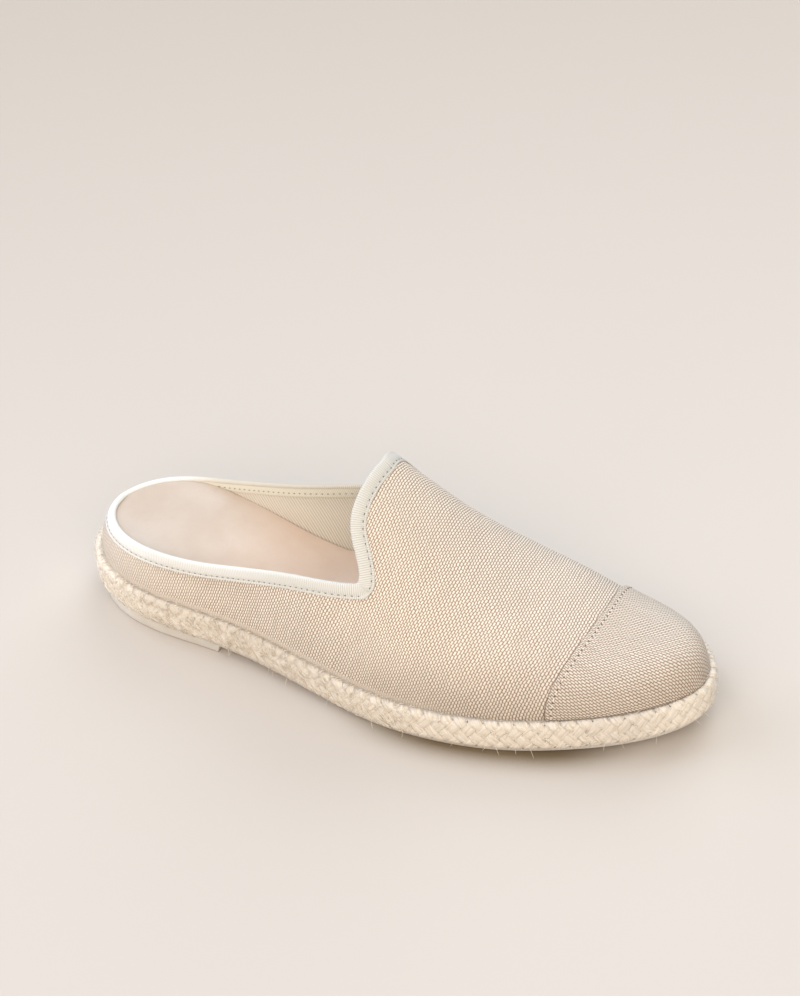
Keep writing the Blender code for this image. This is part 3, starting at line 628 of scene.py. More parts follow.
def lining_finish(colours):
    """Pale cotton twill of the lining."""
    finish = Finish("Cotton_twill")
    along, across = finish.cloth()
    drift = finish.noise(finish.vector(along, across), 0.2, 2.0)
    slant = finish.math("ADD", finish.math("MULTIPLY_ADD", across, -1.187, along), drift)
    rib = finish.math("SINE", finish.times(slant, 2.0 * PI / 2.53))
    thread = finish.math("SINE", finish.times(finish.math("SUBTRACT", along, across), 2.0 * PI / 0.62))
    height = finish.math("MULTIPLY_ADD", thread, 0.22, finish.times(rib, 0.5))
    share = finish.step(height, -0.7, 0.7)
    base = np.array(colours.lining)
    cloth = finish.mix(share, toned(base, 0.68), tuple(np.minimum(base * 1.06, 1.0)))
    patch = finish.noise(finish.body_place(), 0.03, 3.0)
    cloth = finish.mix(finish.step(patch, 0.4, 0.75, 0.0, 0.25), cloth, toned(base, 0.88))
    finish.set(
        Base_Color=cloth,
        Roughness=finish.step(share, 0.0, 1.0, 0.95, 0.82),
        Normal=finish.bump(height, 0.14, 0.7),
        Sheen_Weight=0.1,
        Specular_IOR_Level=0.2,
    )
    return finish.material


def ribbon_finish(sizes, colours):
    """Ribbed cotton ribbon: fine cords across its width and a smooth selvage."""
    finish = Finish("Grosgrain_ribbon")
    along, across = finish.cloth()
    rib = finish.math("SINE", finish.times(along, 2.0 * PI / (sizes.rib_pitch / MM)))
    thread = finish.math("SINE", finish.times(across, 2.0 * PI / 0.42))
    fluff = finish.noise(finish.vector(along, across), 3.5, 3.0, 0.65)
    base = np.array(colours.ribbon)
    share = finish.step(rib, -1.0, 0.4)
    cloth = finish.mix(share, toned(base, 0.76), tuple(base))
    cloth = finish.mix(finish.step(fluff, 0.35, 0.75, 0.0, 0.2), cloth, toned(base, 0.85))
    patch = finish.noise(finish.body_place(), 0.05, 2.0)
    cloth = finish.mix(finish.step(patch, 0.35, 0.75, 0.0, 0.16), cloth, toned(base, 0.92, 0.88, 0.8))
    spot = finish.node("SeparateXYZ", {0: finish.body_place()}).outputs
    # Painted shade and light: the ribbon is darker high up at the throat and lighter round the heel.
    cloth = finish.tint(finish.step(spot[2], 42.0, 62.0), cloth, (0.88, 0.87, 0.85))
    cloth = finish.tint(finish.step(spot[0], -85.0, -130.0), cloth, (1.1, 1.12, 1.15))
    # Painted shadow and light on the inner side ahead of the heel: the ribbon's outer rim darker, its inside
    # face lighter.
    far = finish.times(finish.step(spot[0], -122.0, -96.0), finish.step(spot[1], 4.0, 22.0))
    rim = finish.times(finish.step(across, 4.5, 6.2), finish.step(across, 12.5, 10.0))
    cloth = finish.tint(finish.times(far, rim), cloth, (0.87, 0.79, 0.69))
    cloth = finish.tint(finish.times(far, finish.step(across, 10.0, 12.5)), cloth, (1.22, 1.2, 1.1))
    height = finish.math("MULTIPLY_ADD", thread, 0.12, finish.times(rib, 0.45))
    height = finish.math("MULTIPLY_ADD", fluff, 0.3, height)
    finish.set(
        Base_Color=cloth,
        Roughness=finish.step(fluff, 0.2, 0.8, 0.72, 0.88),
        Normal=finish.bump(height, 0.1, 0.6),
        Sheen_Weight=0.15,
        Specular_IOR_Level=0.3,
    )
    return finish.material


def thread_finish(name, colour):
    """Twisted sewing thread."""
    finish = Finish(name)
    field = finish.body_place()
    twist = finish.noise(field, 2.4, 2.0, 0.6)
    base = np.array(colour)
    finish.set(
        Base_Color=finish.mix(finish.step(twist, 0.3, 0.7), toned(base, 0.7), tuple(base)),
        Roughness=finish.step(twist, 0.3, 0.7, 0.85, 0.65),
        Normal=finish.bump(twist, 0.12, 0.6),
        Sheen_Weight=0.1,
    )
    return finish.material


def jute_finish(colours, name="Jute_plait", shade=1.0):
    """Bundles of straw-coloured jute fibres running along each strand."""
    finish = Finish(name)
    along, across = finish.cloth()
    long_way = finish.vector(finish.times(along, 0.14), finish.times(across, 1.7))
    streak = finish.noise(long_way, 1.6, 4.0, 0.65)
    long_way = finish.vector(finish.times(along, 0.3), finish.times(across, 5.0), 4.0)
    fine = finish.noise(long_way, 1.5, 3.0, 0.6)
    bundle = finish.noise(finish.vector(finish.times(along, 0.05), across, 9.0), 0.35, 2.0)
    yarn = finish.math("MULTIPLY_ADD", streak, 1.2, finish.times(across, PI / 1.15))
    yarn = finish.math("ABSOLUTE", finish.math("SINE", yarn))
    base = np.array(colours.jute) * shade
    straw = finish.mix(finish.step(streak, 0.3, 0.72), toned(base, 0.84, 0.79, 0.7), tuple(base))
    straw = finish.mix(finish.step(fine, 0.45, 0.75, 0.0, 0.45), straw, tuple(np.minimum(base * 1.16, 1.0)))
    straw = finish.mix(finish.step(bundle, 0.4, 0.75, 0.0, 0.3), straw, toned(base, 0.9, 0.86, 0.78))
    straw = finish.mix(finish.step(yarn, 0.45, 0.0, 0.0, 0.45), straw, toned(base, 0.72, 0.63, 0.5))
    foot = finish.node("Attribute", attribute_name="foot").outputs["Fac"]
    ahead = finish.node("SeparateXYZ", {0: finish.body_place()}).outputs[0]
    # Painted light and shade along the plait: lighter at the heel, darker over the front of the toe, lighter
    # again at its tip.
    straw = finish.tint(finish.step(ahead, -70.0, -130.0), straw, (1.12, 1.13, 1.14))
    straw = finish.tint(finish.step(ahead, 80.0, 125.0), straw, (0.93, 0.93, 0.94))
    straw = finish.tint(finish.step(ahead, 122.0, 140.0), straw, (1.12, 1.13, 1.13))
    # Painted shade along the plait's top edge behind the waist, damping the light it catches.
    behind = finish.times(finish.step(ahead, 30.0, -30.0), finish.step(ahead, -125.0, -95.0))
    top = finish.times(finish.step(foot, -4.2, -1.4, 0.0, 0.8), behind)
    straw = finish.mix(top, straw, toned(base, 0.78, 0.73, 0.66))
    height = finish.math("MULTIPLY_ADD", fine, 0.45, streak)
    height = finish.math("MULTIPLY_ADD", yarn, 0.6, height)
    finish.set(
        Base_Color=straw,
        Roughness=finish.step(streak, 0.2, 0.8, 0.9, 0.72),
        Normal=finish.bump(height, 0.35, 0.75),
        Sheen_Weight=0.2,
        Sheen_Roughness=0.4,
        Specular_IOR_Level=0.3,
    )
    return finish.material


def rubber_finish(colours):
    """Matt pale rubber with fine moulding texture and a little dust."""
    finish = Finish("Pale_rubber")
    field = finish.body_place()
    grain = finish.noise(field, 3.2, 3.0, 0.6)
    cloud = finish.noise(field, 0.045, 4.0, 0.55)
    speck = finish.step(finish.noise(field, 0.9, 2.0, 0.5), 0.72, 0.78)
    base = np.array(colours.rubber)
    rubber = finish.mix(finish.step(cloud, 0.35, 0.7), tuple(base), toned(base, 0.94, 0.92, 0.88))
    rubber = finish.mix(finish.times(speck, 0.18), rubber, toned(base, 0.72, 0.64, 0.54))
    spot = finish.node("SeparateXYZ", {0: field}).outputs
    height = spot[2]
    # Painted light: the rubber is lighter at the heel.
    rubber = finish.tint(finish.step(spot[0], -75.0, -130.0), rubber, (1.2, 1.21, 1.23))
    # Painted shadow: the rubber turns dark along its bottom edge, where it meets the floor.
    rubber = finish.mix(finish.step(height, 0.6, 0.15, 0.0, 0.8), rubber, toned(base, 0.3, 0.23, 0.16))
    finish.set(
        Base_Color=rubber,
        Roughness=finish.step(cloud, 0.3, 0.75, 0.58, 0.72),
        Normal=finish.bump(grain, 0.05, 0.5),
        Specular_IOR_Level=0.35,
    )
    return finish.material


def leather_finish(colours):
    """Smooth undyed leather with fine pores and soft clouding."""
    finish = Finish("Insole_leather")
    field = finish.body_place()
    cells = finish.node("TexVoronoi", {"Vector": field, "Scale": 1.5}, feature="DISTANCE_TO_EDGE")
    pores = finish.step(cells.outputs[0], 0.0, 0.12)
    cloud = finish.noise(field, 0.03, 4.0, 0.6)
    fleck = finish.noise(field, 0.5, 3.0, 0.6)
    base = np.array(colours.leather)
    hide = finish.mix(finish.step(cloud, 0.35, 0.7), tuple(base), toned(base, 0.92, 0.88, 0.85))
    hide = finish.mix(finish.step(fleck, 0.5, 0.8, 0.0, 0.2), hide, toned(base, 0.86, 0.8, 0.76))
    hide = finish.mix(finish.times(finish.math("SUBTRACT", 1.0, pores), 0.06), hide, toned(base, 0.7))
    ahead = finish.node("SeparateXYZ", {0: field}).outputs[0]
    # Painted light: the leather is 16 to 30 % lighter ahead of the heel seat.
    front = finish.step(ahead, -100.0, -35.0)
    hide = finish.tint(front, hide, (1.30, 1.21, 1.155))
    height = finish.math("MULTIPLY_ADD", pores, 0.3, fleck)
    finish.set(
        Base_Color=hide,
        Roughness=finish.step(cloud, 0.3, 0.75, 0.5, 0.64),
        Normal=finish.bump(height, 0.05, 0.5),
        Specular_IOR_Level=0.4,
        Sheen_Weight=0.05,
    )
    return finish.material


def shared(name, maker, *values):
    """A material by name, made on first use."""
    return bpy.data.materials.get(name) or maker(*values)


def needle_hole(colours):
    """The dark finish of all needle holes, a painted shade that stands for the holes' depth."""
    dark = tuple(np.array(colours.sand_thread) * 0.3)
    return shared("Needle_hole", thread_finish, "Needle_hole", dark)


# ---- Shapes of the cloth, ribbon, plait and sole ----

WALL_ROWS = 26
VAMP_ROWS = 84
BACK_COLUMNS = 9
EDGE_STEPS = (96, 17, 32)
# Drops of the canvas's hanging rows below the feather line, its thickness, and the
# lining's offset from the last and thickness (mm).
SKIRT = (6.0, 3.0, 1.2)
CANVAS_THICKNESS = 0.7
LINING_OFFSET = -0.95
LINING_THICKNESS = 0.3


def add_skirt(angle, rise, both_ends=False):
    """Grid of angle, rise and drop with hanging rows beyond the feather line."""
    fall = np.array(SKIRT)
    rows = len(SKIRT)
    drop = np.zeros_like(angle)
    angle = np.concatenate([np.repeat(angle[:, :1], rows, 1), angle], 1)
    rise = np.concatenate([np.repeat(rise[:, :1], rows, 1), rise], 1)
    drop = np.concatenate([np.tile(fall, (len(drop), 1)), drop], 1)
    if both_ends:
        angle = np.concatenate([angle, np.repeat(angle[:, -1:], rows, 1)], 1)
        rise = np.concatenate([rise, np.repeat(rise[:, -1:], rows, 1)], 1)
        drop = np.concatenate([drop, np.tile(fall[::-1], (len(drop), 1))], 1)
    return angle, rise, drop


def upper_grids():
    """Grids of angle, rise and drop over the walls, the heel's back and the vamp."""
    grids = []
    starts = []
    for side, foot in (("outer", 0.0), ("inner", PI)):
        path, corner = edge_path(side, *EDGE_STEPS)
        share = np.linspace(0.0, 1.0, WALL_ROWS + 1)
        wall = path[:corner + 1]
        rise = foot + (wall[:, 1:] - foot) * share
        angle = np.repeat(wall[:, :1], WALL_ROWS + 1, 1)
        grids.append((side, add_skirt(angle, rise)))
        tip = path[corner]
        below = np.stack([np.full(WALL_ROWS, tip[0]), foot + (tip[1] - foot) * share[:-1]], -1)
        starts.append(np.concatenate([below, path[corner:]]))
        rises = np.linspace(foot, PI / 2.0, WALL_ROWS + 1)
        angle, rise = np.meshgrid(np.linspace(0.0, BACK, BACK_COLUMNS), rises, indexing="ij")
        grids.append((side, add_skirt(angle, rise)))
    starts = np.concatenate([starts[0], starts[1][::-1][1:]])
    even = np.linspace(0.0, PI, len(starts))
    share = np.linspace(0.0, 1.0, VAMP_ROWS + 1)[:, None]
    angle = starts[:, 0] + (PI - starts[:, 0]) * share
    rise = starts[:, 1] + (even - starts[:, 1]) * np.minimum(1.0, share * 3.0)
    grids.append((None, add_skirt(angle, rise, both_ends=True)))
    return grids


# Creases given one by one: side, x and height of both ends, half-width and depth (mm).
CREASES = (
    ("outer", 150.0, 50.0, 132.0, 33.0, 5.0, 0.5),
    ("outer", 158.0, 47.0, 150.0, 26.0, 5.0, 0.4),
    ("outer", 166.0, 52.0, 178.0, 30.0, 6.0, 0.35),
    ("outer", 40.0, 33.0, 105.0, 36.0, 6.0, 0.6),
    ("inner", 150.0, 50.0, 130.0, 34.0, 5.0, 0.5),
    ("inner", 45.0, 33.0, 100.0, 37.0, 6.0, 0.5),
)


# How the canvas lies on the last. Behind CLOTH_FRONT (mm) its threads follow the sides of
# the shoe. The lean (radians) turns them down the sides, and the slip (mm) shifts them.
CLOTH_FRONT = 150.0
CLOTH_SECTIONS = 240
CLOTH_STEPS = 160
CLOTH_LEAN = Table(("x", "lean"), (
    (0.0, 0.42), (150.0, 0.42), (200.0, 0.36), (255.0, 0.2), (292.0, 0.1),
), steady=True)
CLOTH_SLIP = Table(("x", "slip"), (
    (0.0, 0.0), (92.0, 0.0), (105.0, 1.0), (130.0, 9.1), (150.0, 18.5), (160.0, 22.1),
    (175.0, 25.6), (200.0, 29.3), (215.0, 30.1), (292.0, 30.1),
), steady=True)


def cloth_curves():
    """Where each section of the last lies on the flat cloth, for the outer and inner side."""
    angles = np.linspace(0.0, PI, CLOTH_SECTIONS + 1)
    places = section_place(angles)
    front = int(np.searchsorted(places, CLOTH_FRONT))
    ridge = last_point(angles, np.full(len(angles), PI / 2.0))
    run = run_along(ridge)
    tables = {}
    for side, foot in (("outer", 0.0), ("inner", PI)):
        rises = np.linspace(PI / 2.0, foot, CLOTH_STEPS + 1)
        points = last_point(angles[:, None], rises[None])
        pace = np.linalg.norm(np.diff(points, axis=1), axis=-1)
        away = np.abs(rises[None, :-1] - PI / 2.0)
        lean = CLOTH_LEAN.read("lean", places)[:, None] * soft_step(0.0, 1.0, away)
        zero = np.zeros((len(angles), 1))
        along = run[:, None] + np.concatenate([zero, np.cumsum(np.sin(lean) * pace, 1)], 1)
        across = np.concatenate([zero, np.cumsum(np.cos(lean) * pace, 1)], 1)
        girth = np.concatenate([zero, np.cumsum(pace, 1)], 1)
        climb = girth[:, -1:] - girth
        foot_line = points[:, -1, :2]
        feather = run_along(foot_line)
        tilt = float(CLOTH_LEAN.read("lean", CLOTH_FRONT))
        climb_front, along_front, across_front = (field[front][::-1] for field in (climb, along, across))
        for k in range(front):
            gone = feather[front] - feather[k]
            along[k] = np.interp(climb[k], climb_front, along_front) - gone * math.cos(tilt)
            across[k] = np.interp(climb[k], climb_front, across_front) + gone * math.sin(tilt)
        tables[side] = (along, across)
    return tables


CLOTH = cloth_curves()


def cloth_place(angle, rise, drop, side):
    """Coordinates on the flat cloth, in millimetres: along the shoe and across it."""
    out = np.zeros(angle.shape + (2,))
    for name, sign in (("outer", -1.0), ("inner", 1.0)):
        if side is None:
            chosen = (rise <= PI / 2.0) == (name == "outer")
        else:
            chosen = np.full(rise.shape, side == name)
        a = np.clip(angle / PI * CLOTH_SECTIONS, 0.0, CLOTH_SECTIONS - 0.001)
        r = np.clip(np.abs(rise - PI / 2.0) / (PI / 2.0) * CLOTH_STEPS, 0.0, CLOTH_STEPS - 0.001)
        i, j = a.astype(int), r.astype(int)
        fa, fr = a - i, r - j
        values = []
        for field in CLOTH[name]:
            low = field[i, j] * (1.0 - fr) + field[i, j + 1] * fr
            high = field[i + 1, j] * (1.0 - fr) + field[i + 1, j + 1] * fr
            values.append(low * (1.0 - fa) + high * fa)
        pair = np.stack([values[0], sign * (values[1] + drop)], -1)
        out = np.where(chosen[..., None], pair, out)
    out[..., 1] -= CLOTH_SLIP.read("slip", section_place(angle))
    return out


def crease_relief(points):
    """Soft troughs and ridges in the canvas, in millimetres off its surface."""
    relief = np.zeros(points.shape[:-1])
    middle = last_point(section_angle(points[..., 0]), np.full(points.shape[:-1], PI / 2.0))[..., 1]
    for side, x0, z0, x1, z1, width, depth in CREASES:
        right_side = points[..., 1] < middle if side == "outer" else points[..., 1] > middle
        run = np.array((x1 - x0, z1 - z0))
        span = np.linalg.norm(run)
        dx, dz = points[..., 0] - x0, points[..., 2] - z0
        along = (dx * run[0] + dz * run[1]) / span ** 2
        off = (dx * run[1] - dz * run[0]) / span
        fade = soft_step(-0.15, 0.3, along) * soft_step(1.15, 0.7, along)
        relief -= depth * fade * np.exp(-(off / width) ** 2) * right_side
    return relief


def cloth_sheet(offset):
    """Merged sheet of the whole upper at an offset from the last."""
    grids = []
    for side, (angle, rise, drop) in upper_grids():
        base = last_point(angle, rise)
        on_last = drop <= 0.0
        lift = offset + cap_sink(angle, rise) * on_last + crease_relief(base) * on_last
        grids.append((shell(angle, rise, lift, drop), cloth_place(angle, rise, drop, side)))
    body = sheet_body(grids)
    face_up(body, (120.0, 0.0, 20.0))
    return body


def ridge_point(x, offset):
    """Point at an offset from the ridge of the last, at a distance from the heel."""
    return shell(section_angle([x]), np.array([PI / 2.0]), np.array([offset]))[0]


class MULE_OT_canvas_upper(bpy.types.Operator):
    """Coarse canvas upper, from the heel's back over the vamp to the toe."""
    bl_idname = "mule.canvas_upper"
    bl_label = "Canvas upper"

    def execute(self, context):
        sizes, colours = context.scene.mule_sizes, context.scene.mule_colours
        canvas = shared("Canvas_weave", canvas_finish, "Canvas_weave", sizes, colours, (1.0, 0.9), 1.0, True)
        thing = make_object("canvas_upper", cloth_sheet(0.0), canvas)
        mark_foot(thing)
        add_thickness(thing, CANVAS_THICKNESS)
        put_on_shoe(thing, "canvas", "upper")
        return {"FINISHED"}


class MULE_OT_lining(bpy.types.Operator):
    """Cotton twill lining inside the canvas."""
    bl_idname = "mule.lining"
    bl_label = "Lining"

    def execute(self, context):
        twill = shared("Cotton_twill", lining_finish, context.scene.mule_colours)
        thing = make_object("lining", cloth_sheet(LINING_OFFSET), twill)
        add_thickness(thing, LINING_THICKNESS)
        put_on_shoe(thing, "canvas", "upper")
        return {"FINISHED"}


# The toe cap's folded rear edge: distance ahead of the edge and height over the canvas (mm).
CAP_FOLD = (
    (4.0, 0.22), (2.6, 0.24), (1.9, 0.5), (0.35, 0.56), (0.06, 0.68), (0.0, 0.9), (0.1, 1.14), (0.35, 1.3),
    (0.8, 1.36), (1.3, 1.35), (1.75, 1.28), (2.1, 1.17), (2.35, 1.12), (2.6, 1.17), (3.0, 1.26),
    (3.6, 1.3), (4.6, 1.34), (6.0, 1.3),
)


def cap_grid(columns=150, rows=46):
    """Angle, rise and height over the canvas across the toe cap."""
    rises = np.linspace(0.0, PI, columns)
    start = np.full(columns, float(section_angle(CAP_PLACE)))
    for _ in range(14):
        start = section_angle(cap_line(last_point(start, rises)[:, 1]))
    share = np.linspace(0.0, 1.0, 200)[:, None]
    angle = start + (PI - start) * share
    rise = np.repeat(rises[None], 200, 0)
    points = last_point(angle, rise)
    pace = np.linalg.norm(np.diff(points, axis=0), axis=-1)
    run = np.concatenate([np.zeros((1, columns)), np.cumsum(pace, 0)])
    fold = np.array(CAP_FOLD)
    rest = np.linspace(0.0, 1.0, rows)[1:]
    out = np.empty((len(fold) + len(rest), columns, 3))
    for j in range(columns):
        far = run[-1, j]
        ahead = np.concatenate([fold[:, 0], fold[-1, 0] + (far - fold[-1, 0]) * rest])
        out[:, j, 0] = np.interp(ahead, run[:, j], angle[:, j])
        out[:, j, 1] = rises[j]
        out[:, j, 2] = np.concatenate([fold[:, 1], np.full(len(rest), fold[-1, 1])])
    return out


def cap_spots(ahead, spacing):
    """Evenly spaced angle and rise along a line at a distance ahead of the cap's edge."""
    grid = cap_grid(SEAM_SAMPLES, 8)
    fold = np.array(CAP_FOLD)
    order = slice(5, len(fold))
    angle = np.array([np.interp(ahead, fold[order, 0], grid[order, j, 0]) for j in range(SEAM_SAMPLES)])
    rise = grid[0, :, 1]
    points = last_point(angle, rise)
    run = run_along(points)
    count = int(run[-1] / spacing)
    wanted = (np.arange(count) + 0.5) / count * run[-1]
    return np.interp(wanted, run, angle), np.interp(wanted, run, rise)


# The cap's weave is turned by CAP_TURN (radians). Its hem at the plait is given by way in
# and drop, and its seam by distance ahead of the edge, height and stitch spacing (mm).
CAP_TURN = -0.08
CAP_THICKNESS = 0.2
CAP_HEM = ((0.55, 0.25), (0.95, 0.9), (1.0, 2.4))
CAP_SEAM_AHEAD = 2.35
CAP_SEAM_HEIGHT = 1.14
CAP_SEAM_SPACING = 1.36
SEAM_SAMPLES = 241


class MULE_OT_toe_cap(bpy.types.Operator):
    """Second layer of canvas over the toe, with a folded and stitched rear edge."""
    bl_idname = "mule.toe_cap"
    bl_label = "Toe cap"

    def execute(self, context):
        sizes, colours = context.scene.mule_sizes, context.scene.mule_colours
        canvas = shared("Cap_weave", canvas_finish, "Cap_weave", sizes, colours, (0.91, 0.94), 0.97)
        grid = cap_grid()
        angle, rise, lift = grid[..., 0], grid[..., 1], grid[..., 2]
        lift = lift + cap_sink(angle, rise)
        sheet = shell(angle, rise, lift)
        skirts = []
        for column in (0, -1):
            foot = []
            for inward, drop in CAP_HEM:
                foot.append(shell(angle[:, column], rise[:, column], lift[:, column] - inward, drop))
            skirts.append(np.stack(foot, 1))
        sheet = np.concatenate([skirts[0][:, ::-1], sheet, skirts[1]], 1)
        body = sheet_body([sheet])
        face_up(body, (255.0, 0.0, 18.0))
        thing = make_object("toe_cap_canvas", body, canvas)
        flatten_cloth(thing, ridge_point(255.0, 1.2), ridge_point(275.0, 1.2), PI / 2.0 + CAP_TURN)
        mark_foot(thing)
        add_thickness(thing, CAP_THICKNESS)
        put_on_shoe(thing, "cap_canvas", "toe_cap")
        return {"FINISHED"}


def pebble(body, centre, axes, radii):
    """A small rounded body of a few dozen faces at a place, along three directions."""
    matrix = Matrix.Identity(4)
    for column, (axis, radius) in enumerate(zip(axes, radii)):
        for row in range(3):
            matrix[row][column] = axis[row] * radius * MM
    for row in range(3):
        matrix[row][3] = centre[row]
    bmesh.ops.create_uvsphere(body, u_segments=8, v_segments=5, radius=1.0, matrix=matrix)


# Stitches and needle holes: half length, half width and lift off the cloth (mm).
CAP_STITCH = (0.95, 0.24, -0.06)
CAP_HOLE = (0.42, 0.40, 0.1)
RIBBON_STITCH = (1.05, 0.24, 0.1)
RIBBON_HOLE = (0.5, 0.22, 0.03)
INNER_HOLE = (0.55, 0.24, 0.0)


def stitch_line(name, points, normals, along, size, material, slot):
    """A row of stitches or needle holes lying on a surface."""
    long_half, thick, lift = size
    body = bmesh.new()
    spots = place(points + normals * lift)
    for spot, normal, run in zip(spots, normals, along):
        run = run / np.linalg.norm(run)
        side = np.cross(normal, run)
        pebble(body, spot, (run, side, normal), (long_half, thick, thick * 0.8))
    bmesh.ops.recalc_face_normals(body, faces=body.faces)
    put_on_shoe(make_object(name, body, material), slot)


class MULE_OT_cap_stitches(bpy.types.Operator):
    """Stitches and needle holes along the toe cap's folded edge."""
    bl_idname = "mule.cap_stitches"
    bl_label = "Toe cap stitches"

    def execute(self, context):
        colours = context.scene.mule_colours
        angle, rise = cap_spots(CAP_SEAM_AHEAD, CAP_SEAM_SPACING)
        points = last_point(angle, rise)
        normals = last_normal(angle, rise)
        along = unit(np.gradient(points, axis=0))
        height = CAP_SEAM_HEIGHT + cap_sink(angle, rise)
        points = points + normals * height[:, None]
        thread = shared("Sewing_thread", thread_finish, "Sewing_thread", tuple(colours.cream_thread))
        hole = needle_hole(colours)
        rows = [(points[k::2], normals[k::2], along[k::2]) for k in (0, 1)]
        stitch_line("cap_stitches", *rows[0], CAP_STITCH, thread, "cap_canvas")
        stitch_line("cap_needle_holes", *rows[1], CAP_HOLE, hole, "cap_canvas")
        return {"FINISHED"}


# The ribbon's outline across its width, from its outer edge over the canvas edge to the
# inside and back underneath: reach from the edge and height over the canvas (mm). Reach
# inside the shoe is a share of the inner width, and is marked by a height below zero.
RIBBON_FACE = (
    (5.45, 0.09), (5.62, 0.24), (5.55, 0.41), (5.3, 0.48), (4.95, 0.42), (4.6, 0.31), (4.3, 0.26),
    (4.0, 0.33), (3.55, 0.51), (2.9, 0.67), (2.1, 0.74), (1.2, 0.75), (0.45, 0.71),
    (-0.24, 0.60), (-0.60, 0.25), (-0.78, -0.30), (-0.78, -0.92), (-0.60, -1.40), (-0.24, -1.72),
)
RIBBON_INSIDE = ((0.12, -1.84), (0.5, -1.90), (0.82, -1.83), (0.97, -1.74), (1.0, -1.58), (0.94, -1.42))
RIBBON_UNDER = ((0.5, -1.38), (0.1, -1.38))
RIBBON_RIM = ((-0.3, -1.15), (-0.38, -0.62), (-0.3, -0.08), (0.3, 0.07), (2.6, 0.07), (4.7, 0.07))
RIBBON_WIDTH = 5.62
# How far along the edge the mitred fold at a throat corner reaches, and its height (mm).
CORNER_REACH = 8.0
FOLD_HEIGHT = 0.32
# Height of a rib on the ribbon's face, at its rim and at its outer edge, and the dimple of
# a stitch (mm).
RIB_HEIGHT = 0.075
RIB_AT_RIM = 0.06
RIB_AT_EDGE = 0.12
STITCH_DIMPLE = 0.07
# The seam outside: distance from the edge and height; inside: share of the ribbon's width
# there, depth and the least width that is sewn (mm).
SEAM_REACH = 4.3
SEAM_HEIGHT = 0.36
INNER_SEAM_SHARE = 0.55
INNER_SEAM_DEPTH = 1.92
INNER_SEAM_LEAST = 3.3
EDGE_SAMPLES = 9000
FINE_EDGE_STEPS = (400, 81, 160)


def edge_frame():
    """Round the opening: angle, rise, run, heading into the canvas, the corners' runs and the total."""
    outer, corner_one = edge_path("outer", *FINE_EDGE_STEPS)
    inner, corner_two = edge_path("inner", *FINE_EDGE_STEPS)
    loop = np.concatenate([outer, inner[::-1][1:]])
    corners = (corner_one, len(loop) - 1 - corner_two)
    points = last_point(loop[:, 0], loop[:, 1])
    run = run_along(points)
    corner_runs = run[list(corners)]
    wanted = np.arange(EDGE_SAMPLES) / EDGE_SAMPLES * run[-1]
    angle = np.interp(wanted, run, loop[:, 0])
    rise = np.interp(wanted, run, loop[:, 1])
    points = last_point(angle, rise)
    reach = 4
    along = unit(np.roll(points, -reach, 0) - np.roll(points, reach, 0))
    heading = np.cross(along, last_normal(angle, rise))
    kernel = np.hanning(27)
    kernel = kernel / kernel.sum()
    wide = np.concatenate([heading[-13:], heading, heading[:13]])
    heading = unit(np.stack([np.convolve(wide[:, k], kernel, mode="valid") for k in range(3)], -1))
    return angle, rise, wanted, heading, corner_runs, run[-1]


def turn_from(heading, normal, reference):
    """Angle between two headings on the surface."""
    flat = unit(reference - normal * (reference * normal).sum(-1)[..., None])
    return np.arccos(np.clip((heading * flat).sum(-1), -1.0, 1.0))


def ribbon_depth(x):
    """Width of the ribbon on the inside of the shoe."""
    return np.interp(x, (34.0, 50.0, 105.0), (2.0, 5.2, 5.6))


def ribbon_stations(spacing):
    """Stations round the opening, spaced so that the ribbon's outer edge is even."""
    angle, rise, run, heading, corners, total = edge_frame()
    points = last_point(angle, rise)
    far = points + heading * RIBBON_WIDTH * 1.25
    step_in = np.linalg.norm(np.roll(points, -1, 0) - points, axis=1)
    step_out = np.linalg.norm(np.roll(far, -1, 0) - far, axis=1)
    pace = np.concatenate([[0.0], np.cumsum(np.maximum(step_in, step_out))])
    count = int(pace[-1] / spacing)
    wanted = np.arange(count) / count * pace[-1]
    index = np.interp(wanted, pace, np.arange(len(pace)))
    low = np.floor(index).astype(int) % len(angle)
    high = (low + 1) % len(angle)
    share = np.where(high == 0, 0.0, index - np.floor(index))[:, None]
    wrapped = np.where(high == 0, total, run[high])
    out = {
        "angle": angle[low] + (angle[high] - angle[low]) * share[:, 0],
        "rise": rise[low] + (rise[high] - rise[low]) * share[:, 0],
        "run": run[low] + (wrapped - run[low]) * share[:, 0],
        "heading": heading[low] + (heading[high] - heading[low]) * share,
    }
    normals = last_normal(out["angle"], out["rise"])
    out["stretch"] = np.ones(count)
    out["slip"] = np.zeros(count)
    out["fold"] = np.zeros(count)
    for corner in corners:
        near = np.abs(out["run"] - corner) < CORNER_REACH
        before = heading[np.argmin(np.abs(run - (corner - CORNER_REACH)))]
        after = heading[np.argmin(np.abs(run - (corner + CORNER_REACH)))]
        first = turn_from(out["heading"], normals, before)
        second = turn_from(out["heading"], normals, after)
        turn = np.minimum(first, second)
        lead = first <= second
        sign = np.where(lead, 1.0, -1.0)
        stretch = np.minimum(1.0 / np.cos(np.minimum(turn, 1.2)), 1.13)
        out["stretch"] = np.where(near, stretch, out["stretch"])
        out["slip"] = np.where(near, sign * np.tan(np.minimum(turn, 0.9)), out["slip"])
        out["fold"] = np.where(near & lead, np.clip(turn / 0.7, 0.0, 1.0), out["fold"])
    out["total"] = total
    return out


